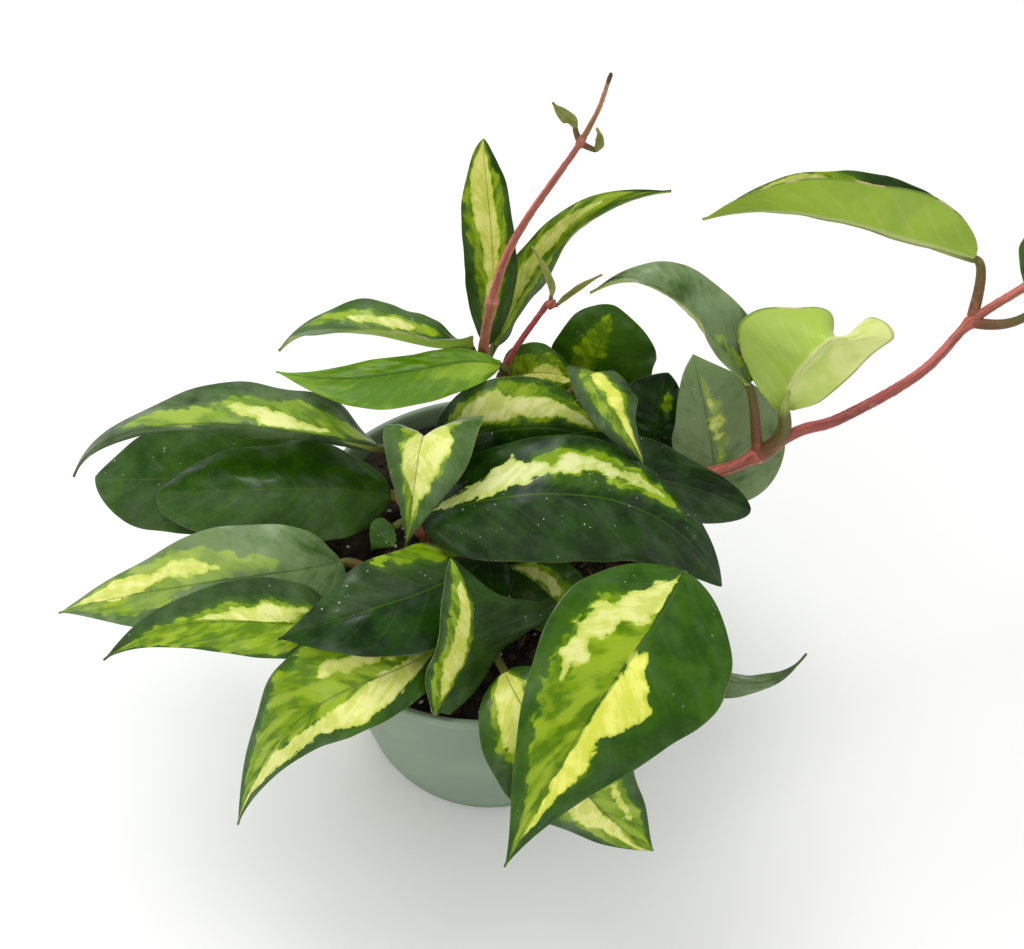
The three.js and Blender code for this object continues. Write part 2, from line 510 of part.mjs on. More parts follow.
// Pot
function potProfile() {
  const step = POT_HEIGHT - COLLAR_DEPTH;
  const lip = POT_HEIGHT - LIP_DEPTH;
  const slope = (RIM_RADIUS - COLLAR_OVERHANG - BASE_RADIUS - FOOT_STEP) / (step - FOOT_HEIGHT);
  const wallRadius = (z) => BASE_RADIUS + FOOT_STEP + slope * (z - FOOT_HEIGHT);
  const outer = [
    [0, 0], [BASE_RADIUS - BASE_EDGE, 0], [BASE_RADIUS, BASE_EDGE],
    [BASE_RADIUS + FOOT_DRAFT, FOOT_HEIGHT - FOOT_EDGE], [BASE_RADIUS + FOOT_STEP, FOOT_HEIGHT],
    [wallRadius(step), step], [RIM_RADIUS - COLLAR_STEP, step + COLLAR_EDGE],
    [RIM_RADIUS - LIP_STEP, lip - LIP_EDGE], [RIM_RADIUS, lip],
    [RIM_RADIUS, POT_HEIGHT - LIP_EDGE], [RIM_RADIUS - LIP_EDGE, POT_HEIGHT],
  ];
  const inner = [
    [RIM_RADIUS - WALL - LIP_INSIDE, POT_HEIGHT], [RIM_RADIUS - WALL - LEDGE_INSIDE, lip],
    [innerRadius(step), step], [innerRadius(FLOOR), FLOOR], [0, FLOOR],
  ];
  return [...outer, ...inner].map(([r, z]) => new THREE.Vector2(r, z));
}

function innerRadius(z) {
  const bottom = BASE_RADIUS - WALL;
  const top = RIM_RADIUS - COLLAR_OVERHANG - WALL;
  return bottom + ((top - bottom) * z) / (POT_HEIGHT - COLLAR_DEPTH);
}

// A lathe turns about +Y, so its solid is stood up along +Z.
function turned(profile, segments) {
  return new THREE.LatheGeometry(profile, segments).rotateX(Math.PI / 2);
}

function potPiece() {
  let body = solid(turned(potProfile(), POT_SEGMENTS));
  for (let i = 0; i < DRAIN_HOLES; i += 1) {
    const turn = (2 * Math.PI * i) / DRAIN_HOLES;
    const drill = new THREE.CylinderGeometry(DRAIN_RADIUS, DRAIN_RADIUS, 4 * FLOOR, 10).rotateX(Math.PI / 2);
    drill.translate(DRAIN_CIRCLE * Math.cos(turn), DRAIN_CIRCLE * Math.sin(turn), FLOOR / 2);
    body = body.subtract(solid(drill));
  }
  return piece('pot', body, POT_GREEN, 0.6);
}

// Soil fills the pot, and its top is lumpy.
function soilHeight(x, y) {
  const lumps = Math.sin(0.31 * x + 1.3) * Math.cos(0.27 * y) + 0.6 * Math.sin(0.63 * x - 0.41 * y);
  return SOIL_TOP + SOIL_LUMP * lumps;
}

function soilPiece(stems) {
  const wide = innerRadius(SOIL_TOP) - GAP;
  const base = FLOOR + GAP;
  const profile = [new THREE.Vector2(0, base), new THREE.Vector2(innerRadius(FLOOR) - GAP, base)];
  for (let i = SOIL_RINGS; i >= 0; i -= 1) {
    profile.push(new THREE.Vector2((wide * i) / SOIL_RINGS, SOIL_TOP));
  }
  const geometry = turned(profile, SOIL_SEGMENTS);
  const places = geometry.attributes.position;
  for (let i = 0; i < places.count; i += 1) {
    if (places.getZ(i) > SOIL_TOP / 2) {
      const x = places.getX(i);
      const y = places.getY(i);
      const inside = 1 - (Math.hypot(x, y) / wide) ** 4;
      places.setZ(i, SOIL_TOP + (soilHeight(x, y) - SOIL_TOP) * inside);
    }
  }
  let body = solid(geometry);
  for (const stem of stems) {
    body = body.subtract(stemBody(stem, GAP));
  }
  return piece('soil', body, SOIL_BROWN, 0.95);
}

function plant() {
  const group = new THREE.Group();
  group.add(potPiece(), soilPiece(STEMS));
  for (const stem of STEMS) {
    group.add(stemPiece(stem));
  }
  for (const leaf of LEAVES) {
    group.add(leafPiece(leaf));
  }
  return group;
}

export default plant();
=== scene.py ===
import functools
import math
import random
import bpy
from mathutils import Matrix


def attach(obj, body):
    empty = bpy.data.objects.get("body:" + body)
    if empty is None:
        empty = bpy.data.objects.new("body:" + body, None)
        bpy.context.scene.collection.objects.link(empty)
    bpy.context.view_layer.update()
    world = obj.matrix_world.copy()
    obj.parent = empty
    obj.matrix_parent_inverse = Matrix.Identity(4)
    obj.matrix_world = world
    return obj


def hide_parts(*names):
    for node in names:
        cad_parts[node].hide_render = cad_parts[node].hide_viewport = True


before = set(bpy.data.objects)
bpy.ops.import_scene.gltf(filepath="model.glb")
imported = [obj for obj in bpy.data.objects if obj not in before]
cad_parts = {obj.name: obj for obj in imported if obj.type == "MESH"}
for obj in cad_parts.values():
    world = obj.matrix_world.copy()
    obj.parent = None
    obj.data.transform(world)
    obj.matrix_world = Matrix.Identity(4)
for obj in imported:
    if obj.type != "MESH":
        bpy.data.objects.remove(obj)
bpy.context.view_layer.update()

from types import SimpleNamespace

import bmesh
import bpy
from mathutils import Matrix, Vector, noise

bl_info = {
    "name": "Variegated wax plant",
    "version": (1, 0, 0),
    "blender": (4, 5, 0),
    "location": "View3D > Sidebar > Wax Plant",
    "description": "Dresses the packed wax plant in its small nursery pot",
    "category": "Add Mesh",
}

MM = 0.001
FULL_TURN = 2 * math.pi
MERGE_DISTANCE = 1e-7
SPIN_MERGE_DISTANCE = 1e-6
NEARLY_ZERO = 1e-6
BODY = "root"

# Camera, fitted to the photograph, whose width and focal length are in pixels
CAMERA_HEIGHT = math.radians(52.7)
CAMERA_DISTANCE = 425.5 * MM
CAMERA_AIM = Vector((7.0, 25.4, 84.0)) * MM
PHOTO_WIDTH = 1024
FOCAL_LENGTH = 1500
SENSOR_WIDTH = 36

# Lights: places and sizes in metres, and the side light as a share of the key light
LIGHT_AIM = (0, 0, 0.08)
KEY_PLACE = (-0.2, 0.4, 0.95)
KEY_SIZE = 0.55
SIDE_PLACE = (-0.7, -0.8, 0.6)
SIDE_SIZE = 0.6
SIDE_SHARE = 0.45

# Pot: lengths in millimetres, angles in radians
RIM_RADIUS = 54
POT_HEIGHT = 84
BASE_RADIUS = 37.9
WALL = 1.3
FLOOR = 1.6
FOOT_HEIGHT = 5
FOOT_LEDGE = 1.1
COLLAR_DEPTH = 6.4
COLLAR_OUT = 2.6
LIP_DEPTH = 1.8
POT_STEPS = 128
SHARP_ANGLE = math.radians(40)
DRAIN_HOLES = 8
DRAIN_RADIUS = 3.2
DRAIN_CIRCLE = 29
DRILL_LENGTH = 6

# An odd number of sides and a small turn keep the edges of the drills off those of the pot's floor
DRILL_SIDES = 31
DRILL_TURN = 0.04

# Soil: lengths in millimetres, tilts in radians; the four kinds of loose matter are told apart by number
SOIL_TOP = 77
SOIL_LUMP = 1.1
SOIL_GAP = 0.2
SOIL_BED = 0.3
SOIL_INSET = 1.5
SOIL_RISE = 2.2
SOIL_RISE_FROM, SOIL_RISE_TO = 5, 40
COARSE_GRIT, COARSE_GRIT_SCALE = 1.1, 0.35
FINE_GRIT, FINE_GRIT_SCALE = 0.8, 1.1
SOIL_ROWS = 60
SOIL_COLUMNS = 120
BARK, PEAT, PERLITE, FIBRE = 1, 2, 3, 4
CRUMBS = {
    BARK: dict(size=1.9, flat=0.35),
    PEAT: dict(size=0.9, flat=0.8),
    PERLITE: dict(size=0.75, flat=0.85),
}
CRUMB_MARGIN = 3
CRUMB_TILT = 0.6
CRUMB_ROUGHNESS = 0.5
SMALLEST_CRUMB = 0.45
LONGEST_CRUMB = 1.6
FIBRE_MARGIN = 6
FIBRE_RADIUS = 0.16
FIBRE_SIDES = 5
FIBRE_POINTS = 7
FIBRE_LIFT = 0.25
FIBRE_ARCH = 0.7
FIBRE_SWING = 1.4

# Stems and leaf stalks: lengths in millimetres, swellings and tapers as shares of the radius
CURVE_STEPS = 24
STEM_SIDES = 20
STEM_SPACING = 0.7
STEM_ROUGHNESS = 0.12
COARSE_SKIN = 1.1
FINE_SKIN = 3.1
FINE_SKIN_SHARE = 0.6
FIRST_SIDE = Vector((0.3, 1, 0.1))
STEM_END = 2.5
NODE_SWELL = 0.55
NODE_LENGTH = 1.9
NODE_TINT = 1.5
COLLAR_SWELL = 0.55
COLLAR_FLARE = 3.4
COLLAR_DROP = 0.5
COLLAR_TINT = 0.6
STALK_SIDES = 14
STALK_ROWS = 22
STALK_BELOW = 0.25
STALK_ROUGHNESS = 0.05
STALK_TAPER = 0.66
KEEL_TAPER = 0.15
KEEL_ROWS = 8
KEEL_REACH = 0.2

# Leaf blades: lengths in millimetres, places along the rib and across a half from 0 to 1
BLADE_ROWS = 76
BLADE_COLUMNS = 60
BLADE_START = 0.04
BLADE_END = 0.985
LEAFLET_ROWS = 22
LEAFLET_COLUMNS = 20
LEAF_THICKNESS = 0.8
EDGE_THINNING = 0.75
EDGE_ROUNDING = 0.45
THICKNESS_SHARE = 0.3
ROOT_ROUNDING = 2.2
TIP_ROUNDING = 1.9
RIB_STEP = 0.01
RIB_BLEND = 0.12
RIB_DEPTH = 0.4
RIB_WIDTH = 1.1
KEEL_DEPTH = 0.8
KEEL_WIDTH = 1.3
ROOT_HALF = 1.4
TIP_HALF = 0.3
MARGIN_UNEVEN = 0.05
WAVE_COUNT = 2.3
WAVE_SHIFT = 0.35
RIPPLE = 0.5
SIDE_VEINS = 9
VEIN_SLANT = 0.2
PUCKER = 0.11
SMALL_LEAF = 12
SMALL_RELIEF = 0.15
PATCH_END_SLOPE = 3
RIB_LIMIT = 0.05
RIB_LIMIT_SLOPE = 6

# Vertex layers that the materials read
VECTOR_LAYERS = ("blade", "look")
NUMBER_LAYERS = ("cream", "lime", "deep", "painted_sheen")

# Short stems under the leaves, each with the points that it runs through, from the soil up
SHORT_STEM = dict(radii=(2, 1.4), nodes=(1, 2), collars=(), tones=(0, 0.3, 0.2, 0))
SHORT_STEMS = {
    "stem_centre": ((-12, 6, 58), (-18, 4, 88), (-22, 6, 99), (-24, 9, 103)),
    "stem_back": ((10, 22, 58), (9, 27, 86), (10, 33, 98), (10, 35, 102)),
    "stem_left": ((-19, 14, 58), (-19, 16, 84), (-18, 21, 97), (-18, 24, 101)),
    "stem_low_left": ((-20, -6, 58), (-25, -10, 80), (-30, -12, 89), (-31, -12, 93)),
    "stem_front": ((0, -18, 58), (-1, -26, 80), (-3, -32, 87), (-4, -34, 90)),
    "stem_middle": ((2, 8, 58), (3, 3, 82), (6, -5, 93), (7, -8, 96)),
}

# All stems: nodes and collars count a stem's points, radii are at its foot and tip, and tones gives its
# colour at each point: -1 pale tan, 0 olive brown, 1 rose, 2 crimson
STEMS = {
    "stem_tall": dict(
        radii=(1.95, 0.45), nodes=(2, 6, 8), collars=(3,),
        tones=(0.2, 0.2, 0.3, 0.6, 1.3, 0.9, 0.5, -0.5, -1),
        points=((-4, 38, 58), (-3, 38, 90), (-2, 36, 113), (2, 35, 145), (8, 36, 166), (21, 36, 192),
            (22.5, 34, 197), (26, 32, 208), (28, 27, 222))),
    "stem_thin": dict(
        radii=(1.0, 0.75), nodes=(2, 4), collars=(), tones=(1, 1, 1.7, 2, 1.4, 0.9),
        points=((2, 32, 60), (4, 33, 90), (4, 34, 116), (15, 38, 138), (17, 37, 141), (18, 36, 144))),
    "stem_right": dict(
        radii=(2.1, 1.05), nodes=(4, 8), collars=(2,),
        tones=(0.2, 0.3, 0.9, 1.1, 1.1, 1.4, 1.5, 1.4, 1.1, 0.8, 0.7, 0.9),
        points=((18, 12, 58), (24, 13, 80), (44, 17, 91), (64, 19, 94), (74, 20, 100), (84, 21, 109),
            (95, 23, 112), (116, 32, 120), (131, 46, 125), (141, 45, 139), (147, 44, 148), (151, 44, 157))),
    **{name: dict(SHORT_STEM, points=points) for name, points in SHORT_STEMS.items()},
    "stem_front_right": dict(
        SHORT_STEM, radii=(2.1, 1.5), points=((22, -10, 58), (30, -12, 82), (44, -17, 96), (49, -19, 100))),
}

# What a leaf is like unless its own entry says otherwise. Pairs are for the left and the right half.
# Shape: bow is how far the stalk swings out, and stalk its radius; halves shares out the width; fold lifts
# each half in degrees, and cup bends it further towards its edge; widest is a place along the rib; base and
# point shape the outline, and wave is how strong the waves are. Looks: skin names the material; deep tells
# how dark the green is, painted_sheen how strong the grey-green sheen painted on each half is, which stands
# in for the lights' reflection, pale how light the underside, warm how yellow the cream, and cooler how
# much less yellow it is on the right half
PLAIN_LEAF = dict(
    skin="leaf", bow=0.5, stalk=1.6, halves=(1, 1), fold=(0, 0), cup=(0, 0), widest=0.42, base=0.6,
    point=1.25, wave=1, deep=0.5, painted_sheen=(0.1, 0.1), pale=(0.45, 0.45), warm=0.4, cooler=0, cream=(), lime=())

# Leaves: each grows from point at of its stem, and its stalk bends towards via where there is one. rib
# holds four points along the midrib. face points out of the upper side at the root, and face_tip at the tip
# where that differs, as fold_tip does for fold. A leaf with left and right has margins that run through
# those points, and bulge arches its halves
LEAVES = {
    "leaf_high_left": dict(
        stem="stem_tall", at=2, bow=0, width=21, fold=(84, -20), fold_tip=(50, -10), widest=0.5,
        rib=((-4, 37, 126), (-18, 32, 133), (-38, 35, 134), (-56, 40, 120)), face=(0, -0.3, 1),
        face_tip=(-0.2, -0.3, 1)),
    "leaf_young_left": dict(
        skin="young_leaf", stem="stem_thin", at=2, width=19, halves=(1, 0.46), fold=(10, 0),
        cup=(-10, -10), widest=0.58, rib=((4, 32, 123), (-11, 29, 127), (-31, 30, 121), (-57, 36, 116)),
        face=(0, -0.6, 0.8)),
    "leaf_upright": dict(
        stem="stem_tall", at=2, width=16, halves=(1, 0.82), fold=(15, 15), widest=0.45, point=0.68,
        stalk=1.4, rib=((0, 43, 119), (2, 52, 138), (1, 56, 159), (0, 58, 178)), face=(0, -1, 0.3)),
    "leaf_swept_back": dict(
        stem="stem_tall", at=2, width=27, halves=(0.55, 0.5), fold=(15, 45), fold_tip=(15, 100),
        rib=((2, 53, 108), (13, 56, 132), (27, 56, 153), (48, 59, 160)), face=(-0.3, -0.9, 0.4),
        face_tip=(-0.2, -0.8, 0.6)),
    "leaf_back_round": dict(
        stem="stem_back", at=2, width=34, halves=(0.72, 1), fold=(5, 5), cup=(-10, -10), widest=0.55,
        point=0.6, rib=((25, 37, 91), (28, 44, 103), (31, 44, 119), (35, 47, 130)), face=(0, -0.9, 0.5)),
    "leaf_back_dark": dict(
        stem="stem_right", at=2, width=27, halves=(1, 0.6), fold=(10, 10), widest=0.5, point=0.7,
        rib=((45, 28, 88), (47, 31, 96), (48, 36, 103), (50, 40, 111)), face=(0, -0.9, 0.5)),
    "leaf_right_sheen": dict(
        stem="stem_right", at=2, via=(53, 18, 85), width=44, halves=(0.53, 1), fold=(14, 0), cup=(0, -10),
        widest=0.35, base=0.5, point=0.9, rib=((63, 17, 82), (63, 27, 92), (60, 34, 104), (57, 45, 113)),
        face=(0.1, -0.7, 0.7), face_tip=(0, -0.7, 0.7)),
    "leaf_right_arm": dict(
        stem="stem_right", at=4, bow=0.1, width=30, halves=(0.95, 0.78), fold=(61, 5), widest=0.22,
        base=0.4, point=1.45, rib=((70, 27, 121), (55, 38, 135), (42, 44, 142), (28, 50, 132)),
        face=(0, -0.3, 1)),
    "leaf_right_curled": dict(
        stem="stem_right", at=4, via=(82, 20, 106), width=30, stalk=2.5,
        rib=((79, 23, 116), (82, 24, 130), (88, 26, 139), (91, 32, 129)),
        left=((80, 23, 115), (86, 21, 121), (93, 25, 127), (101, 29, 131), (106, 33, 134),
            (100, 38, 135), (91, 32, 129)),
        right=((79, 23, 115), (70, 26, 126), (66, 32, 135), (70, 36, 139), (80, 37, 140), (90, 37, 138),
            (91, 32, 129)), bulge=(1, 1), face=(0, 0.6, -0.8), face_tip=(0, -0.6, -0.8)),
    "leaf_twisted": dict(
        stem="stem_back", at=2, via=(16, 30, 106), width=18,
        rib=((29, 29, 124), (28, 21, 128), (34, 12, 125), (41, 7, 113)),
        left=((30, 29, 124), (32, 27, 126), (36, 22, 127), (39, 18, 126), (38, 14, 122), (40, 10, 118),
            (41, 7, 113)),
        right=((28, 29, 124), (23, 27, 129), (23, 21, 128), (26, 16, 125), (29, 12, 123), (34, 10, 119),
            (41, 7, 113)), bulge=(0, 0), face=(0, 0.4, 0.9), face_tip=(0.4, -0.6, 0.7)),
    "leaf_pale_back": dict(
        stem="stem_thin", at=1, bow=0, width=17, halves=(1, 0.8), fold=(10, 10),
        rib=((5, 42, 107), (11, 39, 112), (18, 38, 113), (25, 36, 112)), face=(0, -0.7, 0.7)),
    "leaf_cream_arch": dict(
        stem="stem_back", at=1, width=30, halves=(0.93, 1), cup=(-10, -10),
        rib=((-13, 22, 100), (3, 18, 113), (19, 17, 115), (34, 16, 109)), face=(0, -0.8, 0.6)),
    "leaf_centre": dict(
        stem="stem_centre", at=2, width=35, cup=(-10, -25), point=0.8,
        rib=((-17, -4, 104), (9, -8, 119), (38, -8, 114), (63, -13, 85)), face=(0, -0.2, 1),
        face_tip=(0.2, -0.2, 1)),
    "leaf_under_centre": dict(
        stem="stem_middle", at=1, width=38, halves=(0.58, 0.7), fold=(8, 0), cup=(0, -10), widest=0.5,
        wave=1.6, point=0.55, rib=((-1, 7, 105), (20, 4, 113), (44, 9, 104), (73, 11, 86)),
        face=(0, -0.3, 1), face_tip=(0.2, -0.3, 1)),
    "leaf_bent": dict(
        stem="stem_centre", at=2, width=34, halves=(1, 0.6), fold=(28, 28), cup=(-15, -15), widest=0.34,
        point=2.2, rib=((-16, 15, 100), (-16, 8, 122), (-18, -4, 116), (-21, -11, 98)), face=(0, 1, 1),
        face_tip=(0, -0.6, 0.8)),
    "leaf_left_long": dict(
        stem="stem_left", at=2, width=34, halves=(0.5, 1), fold=(-76, -17), cup=(-60, 0), widest=0.32,
        wave=1.6, point=1.5, rib=((-29, 20, 104), (-54, 15, 117), (-89, 19, 113), (-115, 20, 90)),
        face=(0, -0.2, 1)),
    "leaf_left_under": dict(
        stem="stem_left", at=1, via=(-30, 21, 83), width=32, widest=0.62, point=0.7,
        rib=((-43, 17, 88), (-64, 20, 91), (-88, 21, 88), (-113, 29, 78)), face=(0, -0.4, 0.9)),
    "leaf_left_dark": dict(
        stem="stem_left", at=1, width=30, cup=(-20, -20), widest=0.45, point=0.45,
        rib=((-26, 12, 92), (-44, 9, 99), (-65, 7, 101), (-90, 12, 93)), face=(0, -0.3, 1)),
    "leaf_left_pale": dict(
        stem="stem_low_left", at=2, width=29, fold=(5, 5), cup=(-15, -15), wave=1.4,
        rib=((-38, -11, 94), (-56, -20, 101), (-84, -20, 94), (-118, -12, 70)), face=(0, -0.4, 0.9)),
    "leaf_left_low": dict(
        stem="stem_low_left", at=1, width=23, halves=(0.76, 1), fold=(5, 5), cup=(-15, -15),
        rib=((-36, -26, 93), (-49, -34, 100), (-73, -32, 97), (-101, -31, 77)), face=(0, -0.4, 0.9)),
    "leaf_mid_dark": dict(
        stem="stem_middle", at=2, width=30, halves=(1, 0.98), fold=(5, -5), cup=(-15, -15),
        rib=((2, -8, 94), (-10, -25, 105), (-30, -37, 110), (-51, -39, 101)), face=(0, -0.25, 1),
        face_tip=(0, -0.4, 0.9)),
    "leaf_front_left": dict(
        stem="stem_front", at=2, width=31, halves=(0.7, 1), fold=(5, 5), cup=(-10, -10), wave=2.2,
        rib=((-11, -34, 90), (-28, -49, 98), (-48, -54, 84), (-68, -60, 38)), face=(0, -0.4, 0.9),
        face_tip=(-0.3, -0.6, 0.7)),
    "leaf_folded": dict(
        stem="stem_front", at=1, via=(-11, -33, 84), width=30,
        rib=((-12, -52, 87), (-5, -43, 97), (-3, -36, 109), (-8, -27, 119)),
        left=((-12, -53, 87), (-13, -50, 95), (-12, -47, 103), (-10, -42, 111), (-9, -37, 115),
            (-9, -32, 118), (-8, -27, 119)),
        right=((-10, -52, 87), (-4, -46, 88), (3, -38, 91), (9, -33, 94), (16, -27, 97), (3, -29, 106),
            (-8, -27, 119)), bulge=(0, 0), face=(0, -0.8, 0.6)),
    "leaf_front_big": dict(
        stem="stem_front_right", at=2, via=(51, -22, 103), width=47, halves=(1.03, 0.93), cup=(-10, -10),
        widest=0.38, rib=((50, -26, 112), (38, -47, 112), (23, -63, 96), (5, -78, 52)),
        face=(0, -0.4, 0.9), face_tip=(0, -0.8, 0.5)),
    "leaf_front_under": dict(
        stem="stem_front", at=1, width=32, fold=(5, 5), cup=(-10, -10), point=1,
        rib=((5, -42, 90), (15, -58, 84), (29, -62, 56), (46, -64, 30)), face=(0, -0.6, 0.8),
        face_tip=(0, -0.8, 0.5)),
    "leaf_right_low": dict(
        stem="stem_front_right", at=2, width=13, halves=(1, 0.8), fold=(-25, -60), widest=0.35, point=1.6,
        rib=((40, -40, 92), (54, -43, 91), (69, -43, 86), (84, -32, 82)), face=(0, 0, 1)),
    "leaf_inner": dict(
        stem="stem_front_right", at=1, width=20, fold=(10, 10),
        rib=((24, -22, 82), (18, -19, 88), (12, -14, 90), (5, -9, 88)), face=(0, -0.5, 0.9)),
    "leaf_far_arch": dict(
        stem="stem_right", at=8, bow=0.25, width=31, halves=(0.92, 0.9), fold=(108, 50),
        fold_tip=(80, 40), widest=0.36,
        rib=((131, 57, 139), (103, 56, 149), (80, 61, 151), (59, 71, 139)), face=(0, 0, 1)),
    "leaf_far_right": dict(
        stem="stem_right", at=8, width=26, fold=(10, 10), cup=(0, -10),
        rib=((146, 44, 132), (154, 54, 138), (160, 69, 142), (164, 86, 140)), face=(0, -0.5, 0.9),
        face_tip=(0, -0.2, 1)),
    "leaf_inner_small": dict(
        stem="stem_centre", at=1, width=9, rib=((-25, 1, 93), (-27, 0, 92), (-29, -1, 90), (-31, -2, 86)),
        face=(0, -0.4, 0.9)),
    "leaf_back_low": dict(
        stem="stem_back", at=2, via=(9, 43, 93), width=22, fold=(5, 5), cup=(-10, -10),
        rib=((12, 45, 90), (18, 56, 89), (25, 67, 80), (32, 77, 64)), face=(0, 0.4, 0.9),
        face_tip=(0.2, 0.6, 0.8)),
    "leaf_back_right": dict(
        stem="stem_back", at=1, width=24, fold=(5, 5), cup=(-10, -10),
        rib=((30, 42, 86), (43, 47, 88), (54, 53, 82), (64, 57, 68)), face=(0, 0.4, 0.9),
        face_tip=(0.2, 0.6, 0.8)),
}

# Young leaflets at the vines' tips
YOUNG_LEAFLET = dict(PLAIN_LEAF, bow=0.1, stalk=0.8, fold=(12, 12))
LEAFLETS = [
    dict(
        stem="stem_tall", at=6, width=3.4,
        rib=((21, 36, 200), (20, 35, 203), (18, 35, 205), (16, 36, 207)), face=(-0.5, -0.8, 0.3),
        face_tip=(0, -0.9, 0.4)),
    dict(
        stem="stem_tall", at=6, width=2.6,
        rib=((26, 34, 195), (27, 34, 197), (27, 34, 199), (26, 33, 202)), face=(-0.6, -0.6, 0.5)),
    dict(
        stem="stem_thin", at=4, width=2.2, stalk=0.7,
        rib=((17, 38, 143), (17, 39, 147), (15, 40, 152), (12, 41, 158)), face=(-0.3, -0.9, 0.3)),
    dict(
        stem="stem_thin", at=4, width=1.8, stalk=0.7,
        rib=((19, 39, 139), (22, 40, 142), (26, 39, 147), (30, 39, 150)), face=(0, -0.9, 0.4)),
    dict(
        stem="stem_right", at=10, width=6, fold=(25, 25), stalk=1,
        rib=((148, 45, 158), (147, 47, 163), (146, 50, 168), (144, 52, 173)), face=(0.4, -0.9, 0.2)),
    dict(
        stem="stem_right", at=10, width=6, fold=(25, 25), stalk=1,
        rib=((153, 45, 158), (155, 46, 162), (158, 48, 166), (160, 51, 170)), face=(-0.4, -0.9, 0.2)),
]

